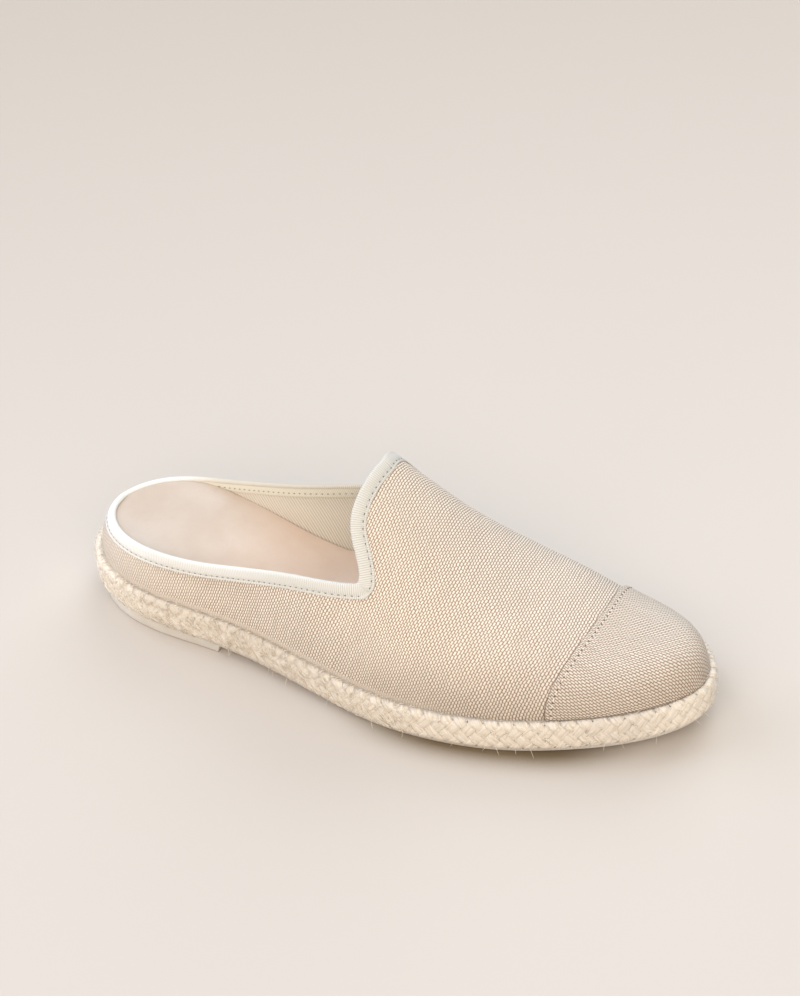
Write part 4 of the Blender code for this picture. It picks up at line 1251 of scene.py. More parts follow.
class MULE_OT_ribbon(bpy.types.Operator):
    """Ribbed ribbon folded over the edge of the opening, mitred at both throat corners."""
    bl_idname = "mule.ribbon"
    bl_label = "Edge ribbon"

    def execute(self, context):
        sizes, colours = context.scene.mule_sizes, context.scene.mule_colours
        pitch = sizes.rib_pitch / MM
        rail = ribbon_stations(pitch / 4.0)
        count = len(rail["angle"])
        ribs = round(rail["total"] / pitch)
        spacing = rail["total"] / ribs
        base = last_point(rail["angle"], rail["rise"])
        inner_width = ribbon_depth(base[:, 0])
        profile = [(reach, lift, False) for reach, lift in RIBBON_FACE]
        profile += [(reach, lift, True) for reach, lift in RIBBON_INSIDE + RIBBON_UNDER]
        profile += [(reach, lift, False) for reach, lift in RIBBON_RIM]
        columns, cloth = [], []
        across = 0.0
        previous = None
        for place_in, (reach, lift, shared_width) in enumerate(profile):
            outside = place_in < len(RIBBON_FACE)
            flat = inner_width * reach if shared_width else np.full(count, reach)
            stretched = np.where(flat > 0.0, flat * rail["stretch"], flat)
            along = rail["run"] + np.maximum(stretched, 0.0) / rail["stretch"] * rail["slip"]
            rib = np.cos(2.0 * PI * along / spacing)
            bulge = 0.0
            if outside or shared_width and reach > 0.1:
                bulge = RIB_HEIGHT * rib
                if reach > 5.2:
                    stretched = stretched + RIB_AT_EDGE * rib
            if 3.2 < reach < 4.9 and lift > 0.2:
                bulge = bulge + STITCH_DIMPLE * np.cos(2.0 * PI * along / (sizes.stitch_pitch / MM))
            rise_by = FOLD_HEIGHT * rail["fold"] * soft_step(-0.5, 2.5, flat) if lift > 0.05 else 0.0
            side = 1.0 if lift > -0.65 else -1.0
            height = np.zeros(count) + lift + side * bulge + rise_by
            angle, rise, _ = walk(rail["angle"], rail["rise"], rail["heading"], np.maximum(stretched, 0.0))
            points = last_point(angle, rise)
            normal = last_normal(angle, rise)
            back = np.maximum(-stretched, 0.0)
            if reach < 0.0:
                back = back + (RIB_AT_RIM * rib if outside else 0.0)
            points = points + normal * height[:, None] - rail["heading"] * back[:, None]
            columns.append(points)
            spot = np.array((reach if not shared_width else -4.0 - reach, lift))
            across += 0.0 if previous is None else float(np.linalg.norm(spot - previous))
            previous = spot
            cloth.append(np.stack([along * pitch / spacing, np.full(count, across)], -1))
        columns.append(columns[0])
        cloth.append(cloth[0] + np.array((0.0, across + 1.0)))
        grid = np.stack(columns, 1)
        uv = np.stack(cloth, 1)
        grid = np.concatenate([grid, grid[:1]])
        last = uv[:1] + np.array((rail["total"] * pitch / spacing, 0.0))
        uv = np.concatenate([uv, last])
        ribbon = shared("Grosgrain_ribbon", ribbon_finish, sizes, colours)
        thing = make_object("edge_ribbon", sheet_body([(grid, uv)], 0.004), ribbon)
        put_on_shoe(thing, "ribbon", "collar_binding")
        return {"FINISHED"}


class MULE_OT_ribbon_stitches(bpy.types.Operator):
    """Stitches and needle holes along the ribbon."""
    bl_idname = "mule.ribbon_stitches"
    bl_label = "Ribbon stitches"

    def execute(self, context):
        sizes, colours = context.scene.mule_sizes, context.scene.mule_colours
        rail = ribbon_stations(sizes.rib_pitch / MM / 4.0)
        flat = SEAM_REACH * rail["stretch"]
        angle, rise, _ = walk(rail["angle"], rail["rise"], rail["heading"], flat)
        path = last_point(angle, rise)
        run = run_along(path)
        count = int(run[-1] / (sizes.stitch_pitch / MM)) * 2
        wanted = (np.arange(count) + 0.5) / count * run[-1]
        angle, rise = np.interp(wanted, run, angle), np.interp(wanted, run, rise)
        points = last_point(angle, rise)
        normals = last_normal(angle, rise)
        along = unit(np.roll(points, -1, 0) - np.roll(points, 1, 0))
        points = points + normals * SEAM_HEIGHT
        pale = tuple(np.array(colours.ribbon) * 0.9)
        thread = shared("Ribbon_thread", thread_finish, "Ribbon_thread", pale)
        hole = needle_hole(colours)
        self.inside_row(rail, sizes, hole)
        rows = [(points[k::2], normals[k::2], along[k::2]) for k in (0, 1)]
        stitch_line("ribbon_stitches", *rows[0], RIBBON_STITCH, thread, "ribbon")
        stitch_line("ribbon_needle_holes", *rows[1], RIBBON_HOLE, hole, "ribbon")
        return {"FINISHED"}

    def inside_row(self, rail, sizes, material):
        """Needle holes along the lower edge of the ribbon inside the shoe."""
        place_in = last_point(rail["angle"], rail["rise"])[:, 0]
        inner_width = ribbon_depth(place_in)
        angle, rise, _ = walk(rail["angle"], rail["rise"], rail["heading"], inner_width * INNER_SEAM_SHARE)
        keep = np.flatnonzero(inner_width > INNER_SEAM_LEAST)
        path = last_point(angle, rise) - last_normal(angle, rise) * INNER_SEAM_DEPTH
        run = run_along(path[keep])
        count = int(run[-1] / (sizes.stitch_pitch / MM))
        wanted = (np.arange(count) + 0.5) / count * run[-1]
        spots = np.stack([np.interp(wanted, run, path[keep, k]) for k in range(3)], -1)
        inward = -last_normal(angle, rise)
        normals = np.stack([np.interp(wanted, run, inward[keep, k]) for k in range(3)], -1)
        along = unit(np.gradient(spots, axis=0))
        stitch_line("ribbon_inner_holes", spots, normals, along, INNER_HOLE, material, "ribbon")


# The plait: five flat strands, each running from edge to edge and back.
STRANDS = 5
PLAIT_REACH = 9.0
PLAIT_MIDDLE = 9.2
PLAIT_FLAT = 5.0
PLAIT_ROLL = 1.08
PLAIT_INSET = 1.2
PLAIT_LAY = 0.34
STRAND_SAMPLES = 920
STRAND_SIDES = 12
STRAND_HALF = 2.55
STRAND_THICK = 0.68
# Cross-section of the ring behind the plait: inset and height over the underside (mm).
PLAIT_BACKING = (
    (4.5, 15.3), (3.6, 15.45), (2.9, 15.1), (2.75, 14.2), (2.75, 9.0), (2.75, 3.6), (3.0, 3.0), (3.9, 3.0),
)


def ring_table():
    """Evenly spaced plan points and inward directions along the ring's outline."""
    fine = np.linspace(0.0, PI, 721)
    outer, inner = outline_sides(fine, 0.0)
    loop = np.concatenate([outer, inner[::-1][1:]])
    run = run_along(loop)
    wanted = np.linspace(0.0, run[-1], 3001)
    plan = np.stack([np.interp(wanted, run, loop[:, k]) for k in (0, 1)], -1)
    along = np.empty_like(plan)
    along[1:-1] = plan[2:] - plan[:-2]
    along[0] = along[-1] = plan[1] - plan[-2]
    along = unit(along)
    inward = np.stack([-along[:, 1], along[:, 0]], -1)
    return wanted, plan, inward, run[-1]


RING_RUN, RING_PLAN, RING_INWARD, RING_LENGTH = ring_table()


def plait_point(run, width, lift):
    """Point of the plait at a run round the shoe, a place across it and a lift off it."""
    run = np.mod(run, RING_LENGTH)
    base = np.stack([np.interp(run, RING_RUN, RING_PLAN[:, k]) for k in (0, 1)], -1)
    inward = np.stack([np.interp(run, RING_RUN, RING_INWARD[:, k]) for k in (0, 1)], -1)
    size = np.abs(width)
    sign = np.sign(width)
    turn = np.clip((size - PLAIT_FLAT) / PLAIT_ROLL, 0.0, PI)
    rest = np.maximum(size - PLAIT_FLAT - PI * PLAIT_ROLL, 0.0)
    inset = PLAIT_INSET + PLAIT_ROLL * (1.0 - np.cos(turn)) - lift * np.cos(turn)
    height = np.minimum(size, PLAIT_FLAT) + PLAIT_ROLL * np.sin(turn) - rest + lift * np.sin(turn)
    plan = base + inward * inset[..., None]
    lip = UNDERSIDE.read("z", plan[..., 0])
    return np.concatenate([plan, (lip + PLAIT_MIDDLE + sign * height)[..., None]], -1)


def wobble(phase, seed, parts):
    """Smooth uneven value along the ring that meets itself after one round."""
    chance = np.random.default_rng(seed)
    total = np.zeros_like(phase)
    for part in parts:
        total = total + chance.normal() * np.sin(part * phase + chance.uniform(0.0, 2.0 * PI))
    return total / math.sqrt(len(parts))


def strand_middle(number, periods):
    """Way round the ring, run, place across and lift of the middle line of one strand."""
    cycle = np.arange(STRAND_SAMPLES + 1) / STRAND_SAMPLES * periods
    ring = cycle / periods * 2.0 * PI
    cycle = cycle + number / STRANDS
    share = np.mod(cycle, 1.0)
    swing = np.arcsin(0.985 * np.sin(2.0 * PI * (share - 0.25))) / math.asin(0.985)
    marks = (-0.1, 0.1, 0.2, 0.3, 0.4, 0.6, 0.7, 0.8, 0.9, 1.1)
    turns = (-1.0, 0.0, 1.0, 2.0, 3.0, 4.0, 5.0, 6.0, 7.0, 8.0)
    lift = PLAIT_LAY * np.cos(PI * np.interp(share, marks, turns))
    run = ring / (2.0 * PI) * RING_LENGTH
    width = PLAIT_REACH * swing + 0.22 * wobble(ring, 40 + number, (17, 31, 47, 71, 97))
    return ring, run, width, lift


class MULE_OT_jute_plait(bpy.types.Operator):
    """Five-strand jute plait standing round the sole, with jute behind its gaps painted darker as their
    shade.
    """
    bl_idname = "mule.jute_plait"
    bl_label = "Jute plait"

    def execute(self, context):
        sizes, colours = context.scene.mule_sizes, context.scene.mule_colours
        periods = round(RING_LENGTH / (STRANDS * sizes.plait_repeat / MM))
        turn = np.linspace(0.0, 2.0 * PI, STRAND_SIDES + 1)
        sheets = []
        for number in range(STRANDS):
            ring, run, width, lift = strand_middle(number, periods)
            climb = (np.roll(width[:-1], -1) - np.roll(width[:-1], 1)) / 2.0
            ahead = np.full(STRAND_SAMPLES + 1, RING_LENGTH / STRAND_SAMPLES)
            step = np.stack([ahead, np.append(climb, climb[0])], -1)
            pace = np.linalg.norm(step, axis=1)
            step = step / pace[:, None]
            length = np.concatenate([[0.0], np.cumsum(pace[1:])])
            half = STRAND_HALF * (1.0 + 0.06 * wobble(ring, 60 + number, (23, 41, 67, 103)))
            half = half * (0.94 + 0.06 * lift / PLAIT_LAY)
            edge = np.clip((np.abs(width) - 6.5) / 2.5, 0.0, 1.0)
            half = half * (1.0 - 0.18 * edge)
            thick = STRAND_THICK * (1.0 + 0.08 * wobble(ring, 80 + number, (19, 37, 61, 89)))
            front = soft_step(110.0, 190.0, np.interp(run, RING_RUN, RING_PLAN[:, 0]))
            half = half * (1.07 - 0.07 * front)
            lift = lift * (0.35 + 0.65 * front)
            wide = np.sign(np.cos(turn)) * np.abs(np.cos(turn)) ** 0.65
            tall = np.sign(np.sin(turn))[None] * np.abs(np.sin(turn))[None] ** (0.5 + 0.3 * front[:, None])
            off = half[:, None] * wide[None]
            points = plait_point(
                run[:, None] - step[:, 1:] * off,
                width[:, None] + step[:, :1] * off,
                lift[:, None] + thick[:, None] * tall,
            )
            cloth = np.stack(np.broadcast_arrays(length[:, None], (turn * 1.1)[None] + 20.0 * number), -1)
            sheets.append((points, cloth))
        jute = shared("Jute_plait", jute_finish, colours)
        thing = make_object("jute_strands", sheet_body(sheets, 0.002), jute)
        mark_foot(thing)
        put_on_shoe(thing, "jute", "jute_braid")
        self.add_backing(colours)
        return {"FINISHED"}

    def add_backing(self, colours):
        """Jute ring behind the plait's small gaps, painted darker as the shade in them."""
        run = np.linspace(0.0, RING_LENGTH, 361)
        base = np.stack([np.interp(run, RING_RUN, RING_PLAN[:, k]) for k in (0, 1)], -1)
        inward = np.stack([np.interp(run, RING_RUN, RING_INWARD[:, k]) for k in (0, 1)], -1)
        rows = []
        for inset, height in PLAIT_BACKING:
            plan = base + inward * inset
            rows.append(np.concatenate([plan, (UNDERSIDE.read("z", plan[:, 0]) + height)[:, None]], 1))
        rows.append(rows[0])
        grid = np.stack(rows, 1)
        cloth = np.stack(np.broadcast_arrays(run[:, None], np.linspace(0.0, 19.0, len(rows))[None]), -1)
        dark = shared("Jute_shade", jute_finish, colours, "Jute_shade", 0.8)
        thing = make_object("plait_backing", sheet_body([(grid, cloth)], 0.002), dark)
        put_on_shoe(thing, "jute", "jute_braid")


class MULE_OT_jute_fuzz(bpy.types.Operator):
    """Loose fibres standing off the plait."""
    bl_idname = "mule.jute_fuzz"
    bl_label = "Loose jute fibres"

    def execute(self, context):
        sizes, colours = context.scene.mule_sizes, context.scene.mule_colours
        chance = np.random.default_rng(7)
        body = bmesh.new()
        layer = body.loops.layers.uv.new("cloth")
        turn = np.linspace(0.0, 2.0 * PI, 4)
        share = np.linspace(0.0, 1.0, 5)
        for number in range(sizes.loose_fibres):
            hanging = number % 55 == 0
            run = chance.uniform(0.0, 1.0)
            run = RING_LENGTH * (run if hanging or number % 4 == 0 else (0.6 * (run - 0.5)) % 1.0)
            width = chance.uniform(-7.4, 8.2)
            slope = chance.choice((-1.0, 1.0)) * chance.normal(0.75, 0.3)
            length = chance.uniform(3.0, 7.0) if hanging else chance.uniform(1.4, 3.8)
            bow = chance.uniform(0.0, 0.3)
            curl = chance.normal() * 0.5
            path = plait_point(
                run + length * share * math.cos(slope) + curl * share ** 2,
                width + length * share * math.sin(slope) - curl * share ** 2,
                0.98 + bow * np.sin(PI * share),
            )
            thickness = 0.2
            if hanging:
                thickness = 0.11
                root, outer = plait_point(np.full(2, run), np.full(2, -5.2), np.array((0.5, 1.5)))
                way = (outer - root) + chance.normal(size=3) * (0.9, 0.9, 0.25) + (0.0, 0.0, -0.75)
                sag = np.outer(share ** 2, (0.0, 0.0, -0.9))
                path = root + (np.outer(share, way) + sag) * 0.6 * length / np.linalg.norm(way)
            path[:, 2] = np.maximum(path[:, 2], 0.3)
            along = unit(np.gradient(path, axis=0))
            side = unit(np.cross(along, (0.31, 0.2, 0.93)))
            up = np.cross(along, side)
            thick = np.where((share > 0.0) & (share < 1.0), thickness * (1.0 - 0.4 * share), 0.0)
            points = path[:, None] + thick[:, None, None] * (
                side[:, None] * np.cos(turn)[None, :, None] + up[:, None] * np.sin(turn)[None, :, None])
            around = (turn * 0.1)[None] + number
            cloth = np.stack(np.broadcast_arrays((share * length)[:, None], around), -1)
            lay_grid(body, points, cloth, layer)
        bmesh.ops.remove_doubles(body, verts=body.verts, dist=0.0005 * MM)
        bmesh.ops.recalc_face_normals(body, faces=body.faces)
        pale = shared("Jute_fluff", jute_finish, colours, "Jute_fluff", 1.2)
        thing = make_object("jute_fibres", body, pale)
        put_on_shoe(thing, "jute")
        return {"FINISHED"}


# ---- Sole and insole ----

# Rounding of the lip round the sole: way in, with height over the underside or drop below
# the lip's top (mm).
LIP_FOOT = ((0.75, 0.0), (0.3, 0.08), (0.08, 0.3), (0.0, 0.7))
LIP_SHOULDER = ((0.0, 0.4), (0.12, 0.12), (0.4, 0.0))
# Slot across the waist and grooves of the tread: place, margin to the rim, width, depth (mm).
SLOT_X = 84.0
SLOT_MARGIN = 4.5
SLOT_WIDTH = 4.0
SLOT_DEPTH = 1.4
GROOVE_START = 118.0
GROOVE_MARGIN = 3.6
GROOVE_DEPTH = 1.0


def plan_loop(angles, inset, rise, floored=None):
    """Closed loop of the outline at an inset, at a rise above the underside or the floor."""
    outer, inner = outline_sides(angles, inset)
    loop = np.concatenate([outer, inner[::-1][1:-1]])
    height = UNDERSIDE.read("z", loop[:, 0])
    if floored is not None:
        height = np.where(np.concatenate([floored, floored[::-1][1:-1]]), 0.0, height)
    return np.concatenate([loop, (height + rise)[:, None]], 1)


def stack_body(loops, cuts=0):
    """Closed bmesh of a stack of loops, closed across at both ends."""
    body = bmesh.new()
    rings = [[body.verts.new(point) for point in place(loop)] for loop in loops]
    sides = []
    for ring in rings:
        sides.append([body.edges.new(pair) for pair in zip(ring, ring[1:] + ring[:1])])
    for below, above in zip(sides, sides[1:]):
        bmesh.ops.bridge_loops(body, edges=below + above)
    count = len(rings[0])
    across = []
    for ring in (rings[0], rings[-1]):
        for k in range(count // 2):
            corners = [ring[k], ring[k + 1], ring[count - k - 1], ring[(count - k) % count]]
            face = [v for j, v in enumerate(corners) if v is not corners[j - 1]]
            made = body.faces.new(face)
            if ring is rings[-1]:
                across += [edge for edge in made.edges if {edge.verts[0], edge.verts[1]} not in (
                    {ring[k], ring[k + 1]}, {ring[count - k - 1], ring[(count - k) % count]})]
    if cuts:
        bmesh.ops.subdivide_edges(body, edges=list(set(across)), cuts=cuts, use_grid_fill=True)
    bmesh.ops.recalc_face_normals(body, faces=body.faces)
    return body


def groove_bar(body, path, width, depth):
    """A bar along a path in plan that cuts a groove of a depth into the underside."""
    path = np.asarray(path, float)
    along = unit(np.gradient(path, axis=0))
    side = np.stack([-along[:, 1], along[:, 0]], -1) * width / 2.0
    floor = np.where(path[:, 0] < BREAST_X, 0.0, UNDERSIDE.read("z", path[:, 0]))
    rings = []
    for k in range(len(path)):
        ring = []
        for lateral, rise in ((1.0, depth), (-1.0, depth), (-1.15, -2.0), (1.15, -2.0)):
            spot = path[k] + side[k] * lateral
            ring.append(body.verts.new(place((spot[0], spot[1], floor[k] + rise))))
        rings.append(ring)
    sides = [[body.edges.new(pair) for pair in zip(ring, ring[1:] + ring[:1])] for ring in rings]
    for below, above in zip(sides, sides[1:]):
        bmesh.ops.bridge_loops(body, edges=below + above)
    body.faces.new(rings[0])
    body.faces.new(rings[-1])


def side_of(x, margin):
    """Outer and inner y of the tread's rim at a distance from the heel."""
    outer, inner = outline_sides(FINE, LIP_INSET + margin)
    return np.interp(x, outer[:, 0], outer[:, 1]), np.interp(x, inner[:, 0], inner[:, 1])


def forefoot_grooves(pitch, margin):
    """Curved grooves across the forefoot."""
    paths = []
    share = np.linspace(0.0, 1.0, 61)
    outer, inner = outline_sides(FINE, LIP_INSET + margin)
    rim = np.concatenate([outer, inner[::-1][1:-1]])
    for number in range(-4, 52):
        start = GROOVE_START + number * pitch
        y = -62.0 + 124.0 * share
        centred = (y - 2.0) / 40.0
        x = start + 6.0 * np.tanh(1.5 * centred) + 1.6 * np.sin(1.6 * centred)
        limit = 124.0 + 0.06 * y - 0.0022 * (y - 4.0) ** 2
        left, right = side_of(x, margin)
        good = (y > left) & (y < right) & (x > limit) & (x < rim[:, 0].max() - 0.5)
        if good.sum() > 6:
            first, last = np.flatnonzero(good)[[0, -1]]
            if good[first:last + 1].all():
                keep = slice(first, last + 1)
                paths.append(np.stack([x[keep], y[keep]], -1))
    return paths


def heel_grooves(pitch, margin):
    """Grooves of the heel as arcs round a point near the inner end of its breast."""
    paths = []
    centre = np.array((BREAST_X - 1.0, 14.0))
    for number in range(2, 26):
        radius = number * pitch
        turn = np.linspace(0.5 * PI, 1.5 * PI, 121)
        x = centre[0] + radius * np.cos(turn)
        y = centre[1] + radius * np.sin(turn)
        left, right = side_of(x, margin)
        low, high = outline_sides(FINE, LIP_INSET + margin)[0][0, 0], BREAST_X - 4.0
        good = (y > left) & (y < right) & (x > low) & (x < high)
        edges = np.flatnonzero(np.diff(np.concatenate([[0], good.astype(int), [0]])))
        for first, last in zip(edges[0::2], edges[1::2]):
            if last - first > 5:
                paths.append(np.stack([x[first:last], y[first:last]], -1))
    return paths


class MULE_OT_outsole(bpy.types.Operator):
    """Rubber sole with a low heel block, a bare waist and a grooved tread."""
    bl_idname = "mule.outsole"
    bl_label = "Outsole"

    def execute(self, context):
        sizes, colours = context.scene.mule_sizes, context.scene.mule_colours
        angles = list(np.linspace(0.0, PI, 151))
        exact = [math.acos(1.0 - 2.0 * x / LENGTH) for x in (BREAST_X, BREAST_X + BREAST_RUN)]
        clear = 0.6 * (angles[1] - angles[0])
        angles = np.array(sorted([a for a in angles if all(abs(a - b) > clear for b in exact)] + exact))
        heel = LENGTH / 2.0 * (1.0 - np.cos(angles)) <= BREAST_X + 0.01
        loops = [plan_loop(angles, LIP_INSET + inset, rise, heel) for inset, rise in LIP_FOOT]
        loops += [plan_loop(angles, LIP_INSET + inset, LIP_HEIGHT - down) for inset, down in LIP_SHOULDER]
        loops += [plan_loop(angles, CORE_INSET, rise) for rise in (LIP_HEIGHT, CORE_RISE)]
        body = stack_body(loops)
        rubber = shared("Pale_rubber", rubber_finish, colours)
        sole = make_object("rubber_sole", body, rubber, smooth=False)
        cutter = self.make_cutter(sizes)
        cut = sole.modifiers.new("tread", "BOOLEAN")
        cut.operation = "DIFFERENCE"
        cut.solver = "EXACT"
        cut.object = cutter
        graph = context.evaluated_depsgraph_get()
        mesh = bpy.data.meshes.new_from_object(sole.evaluated_get(graph))
        sole.modifiers.clear()
        sole.data = mesh
        bpy.data.objects.remove(cutter, do_unlink=True)
        mesh.shade_smooth()
        mesh.set_sharp_from_angle(angle=math.radians(34.0))
        put_on_shoe(sole, "sole_rubber", "outsole")
        return {"FINISHED"}

    def make_cutter(self, sizes):
        """One mesh of bars for the slot and all the grooves."""
        body = bmesh.new()
        left, right = side_of(SLOT_X, SLOT_MARGIN)
        y = np.linspace(left, right, 5)
        groove_bar(body, np.stack([np.full(5, SLOT_X), y], -1), SLOT_WIDTH, SLOT_DEPTH)
        pitch = sizes.groove_pitch / MM
        for path in forefoot_grooves(pitch, GROOVE_MARGIN) + heel_grooves(pitch, GROOVE_MARGIN):
            path = path[::2] if len(path) > 12 else path
            groove_bar(body, path, sizes.groove_width / MM, GROOVE_DEPTH)
        bmesh.ops.recalc_face_normals(body, faces=body.faces)
        mesh = bpy.data.meshes.new("tread_cutter")
        body.to_mesh(mesh)
        body.free()
        cutter = bpy.data.objects.new("tread_cutter", mesh)
        bpy.context.collection.objects.link(cutter)
        cutter.hide_render = True
        return cutter


def contour_loop(angles, heights, inset):
    """Closed loop where the last stands at given heights, moved inward."""
    fine = np.linspace(0.02, PI - 0.02, 800)
    crest_place = section_place(fine)
    crest = feather_height(crest_place) + section_rise(fine)
    places = LENGTH / 2.0 * (1.0 - np.cos(angles))
    level = np.interp(crest_place, places, heights)
    inside = np.flatnonzero(crest > level)
    low, high = crest_place[inside[0]], crest_place[inside[-1]]
    spot = low + (high - low) * (1.0 - np.cos(angles)) / 2.0
    wanted = np.interp(spot, places, heights)
    section = section_angle(spot)
    rise = rise_for_height(section, wanted)
    rise[0] = rise[-1] = PI / 2.0
    outer = last_point(section, rise)[:, :2]
    inner = last_point(section, PI - rise)[:, :2]
    loop = np.concatenate([outer, inner[::-1][1:-1]])
    along = unit(np.roll(loop, -1, 0) - np.roll(loop, 1, 0))
    loop = loop + inset * np.stack([-along[:, 1], along[:, 0]], -1)
    lift = np.concatenate([wanted, wanted[::-1][1:-1]])
    return np.concatenate([loop, lift[:, None]], 1)


def shrink_loop(loop, inward):
    """The same loop drawn in towards its long middle line."""
    mirror = loop[(-np.arange(len(loop))) % len(loop)]
    middle = (loop + mirror) / 2.0
    half = np.linalg.norm((loop - mirror)[:, :2], axis=1).max() / 2.0
    out = middle + (loop - middle) * (1.0 - inward / half)
    centre = (loop[:, 0].max() + loop[:, 0].min()) / 2.0
    reach = (loop[:, 0].max() - loop[:, 0].min()) / 2.0
    out[:, 0] = centre + (out[:, 0] - centre) * (1.0 - inward / reach)
    return out


# How much higher the insole's top is than the footbed's table (mm): places and lifts.
INSOLE_LIFT = ((12.0, 38.0, 52.0, 75.0, 95.0, 118.0), (1.6, 2.0, 1.9, 1.6, 0.2, -1.2))
# Clearance to the canvas wall, least height over the feather line and height of the rim (mm).
INSOLE_CLEARANCE = 0.75
INSOLE_LEAST = 2.2
INSOLE_EDGE = 1.3
# The insole's rounded rim and shallow dish: way in and drop (mm).
INSOLE_DISH = (
    (0.0, 0.7), (0.15, 0.3), (0.45, 0.08), (1.0, 0.0), (2.2, 0.02), (3.6, 0.12),
    (5.5, 0.3), (7.5, 0.55), (9.5, 0.8), (11.5, 0.95),
)


class MULE_OT_insole(bpy.types.Operator):
    """Leather-topped insole, thin at the toe and raised at the heel."""
    bl_idname = "mule.insole"
    bl_label = "Insole"

    def execute(self, context):
        angles = np.linspace(0.0, PI, 121)
        places = LENGTH / 2.0 * (1.0 - np.cos(angles))
        feather = UNDERSIDE.read("z", places) + FEATHER_RISE
        top = FOOTBED.read("z", places) + np.interp(places, *INSOLE_LIFT)
        top = np.maximum(top, feather + INSOLE_LEAST)
        inset = CANVAS_WALL + INSOLE_CLEARANCE
        loops = [plan_loop(angles, CANVAS_INSET + inset, rise) for rise in (CORE_RISE + 0.3, FEATHER_RISE)]
        edge = top - INSOLE_EDGE
        for share in (0.5, 1.0):
            loops.append(contour_loop(angles, feather + (edge - feather) * share, inset - 0.35))
        for inward, down in INSOLE_DISH:
            loop = shrink_loop(contour_loop(angles, top, inset - 0.55), inward)
            loop[:, 2] -= down
            loops.append(loop)
        body = stack_body(loops, cuts=14)
        leather = shared("Insole_leather", leather_finish, context.scene.mule_colours)
        thing = make_object("leather_insole", body, leather)
        put_on_shoe(thing, "insole_leather", "insole")
        return {"FINISHED"}


# ---- Stage ----


# Broad lights: name, turn round the shoe from the outer side and height over the floor
# (degrees), strength, tint, spread (degrees).
LIGHTS = (
    ("overhead_light", 0.0, 90.0, 1.2, (0.96, 1.0, 1.04), 70.0),
    ("outer_light", 0.0, 35.0, 1.3, (1.117, 1.0, 0.885), 50.0),
    ("toe_light", 45.0, 35.0, 1.36, (1.133, 1.0, 0.865), 50.0),
    ("inner_light", 180.0, 35.0, 1.7, (0.926, 1.0, 1.078), 50.0),
    ("heel_light", 270.0, 35.0, 1.4, (0.89, 1.0, 1.2), 50.0),
)


FILL_COLOUR = (1.0, 0.935, 0.85, 1.0)
FILL_STRENGTH = 0.04

# Camera: turn, height over the floor and roll (degrees), target and distance (m), lens (mm).
CAMERA_ANGLES = (29.38069946, 36.90421457, -5.54247683)
CAMERA_TARGET = (-0.040893, 0.095106, 0.0)
CAMERA_DISTANCE = 0.953621
CAMERA_LENS = 72.777


class MULE_OT_stage(bpy.types.Operator):
    """Pale floor, soft studio light and the camera."""
    bl_idname = "mule.stage"
    bl_label = "Stage"

    def execute(self, context):
        self.add_floor(context)
        self.add_light(context)
        self.add_camera(context)
        return {"FINISHED"}

    def add_floor(self, context):
        """Wide matt floor with a faint mottle, painted shade that darkens it far off, and a painted contact
        shadow close under the outer forefoot.
        """
        body = bmesh.new()
        bmesh.ops.create_grid(body, x_segments=24, y_segments=24, size=6.0)
        finish = Finish("Studio_floor")
        field = finish.body_place((1.0, 1.0, 1.0))
        cloud = finish.noise(field, 3.0, 3.0, 0.5)
        base = np.array(context.scene.mule_colours.floor)
        spots = finish.node("SeparateXYZ", {0: field}).outputs
        # Painted shade: the floor grows darker away from the camera.
        away = finish.math("MULTIPLY_ADD", spots[1], 0.87, finish.times(spots[0], -0.49))
        fall = finish.step(away, -0.1, 1.0)
        paper = finish.mix(finish.step(cloud, 0.3, 0.7), tuple(base), toned(base, 0.99))
        paper = finish.mix(fall, paper, toned(base, 0.79, 0.775, 0.75))
        # Painted shadow: a dark tint close beside the outer forefoot, where the floor is hidden from the
        # light.
        near = finish.times(finish.step(spots[0], -0.01, 0.05), finish.step(spots[0], 0.13, 0.09))
        near = finish.times(near, finish.step(spots[1], 0.01, -0.02))
        nearby = finish.node("AmbientOcclusion", {"Distance": 0.018}, samples=16).outputs["AO"]
        hidden = finish.step(nearby, 0.93, 0.42)
        paper = finish.tint(finish.times(near, hidden), paper, (0.37, 0.31, 0.22))
        finish.set(
            Base_Color=paper,
            Roughness=finish.step(cloud, 0.3, 0.7, 0.85, 0.9),
            Normal=finish.bump(finish.noise(field, 900.0), 0.02, 0.2),
            Specular_IOR_Level=0.2,
        )
        floor = make_object("floor", body, finish.material)

    def add_light(self, context):
        """Faint fill from all round and five broad lights."""
        world = bpy.data.worlds.new("Studio_fill")
        world.use_nodes = True
        fill = world.node_tree.nodes["Background"]
        fill.inputs["Color"].default_value = FILL_COLOUR
        fill.inputs["Strength"].default_value = FILL_STRENGTH
        context.scene.world = world
        for name, turn, height, energy, tint, spread in LIGHTS:
            lamp = bpy.data.lights.new(name, "SUN")
            lamp.energy, lamp.angle, lamp.color = energy, math.radians(spread), tint
            light = bpy.data.objects.new(name, lamp)
            light.rotation_euler = (math.radians(90.0 - height), 0.0, math.radians(turn))
            bpy.context.collection.objects.link(light)

    def add_camera(self, context):
        """Camera looking down on the outer side of the toe, rolled a little."""
        turn, height, roll = (math.radians(value) for value in CAMERA_ANGLES)
        flat = math.cos(height)
        forward = -Vector((math.sin(turn) * flat, -math.cos(turn) * flat, math.sin(height)))
        level = Vector((math.cos(turn), math.sin(turn), 0.0))
        upward = level.cross(forward)
        right = level * math.cos(roll) + upward * math.sin(roll)
        up = upward * math.cos(roll) - level * math.sin(roll)
        lens = bpy.data.cameras.new("camera")
        lens.lens = CAMERA_LENS
        lens.clip_start, lens.clip_end = 0.05, 50.0
        camera = bpy.data.objects.new("camera", lens)
        matrix = Matrix((right, up, -forward)).transposed().to_4x4()
        matrix.translation = Vector(CAMERA_TARGET) - forward * CAMERA_DISTANCE
        camera.matrix_world = matrix
        bpy.context.collection.objects.link(camera)
        context.scene.camera = camera
        context.scene.view_settings.view_transform = "Standard"


# ---- Settings, panel and run ----


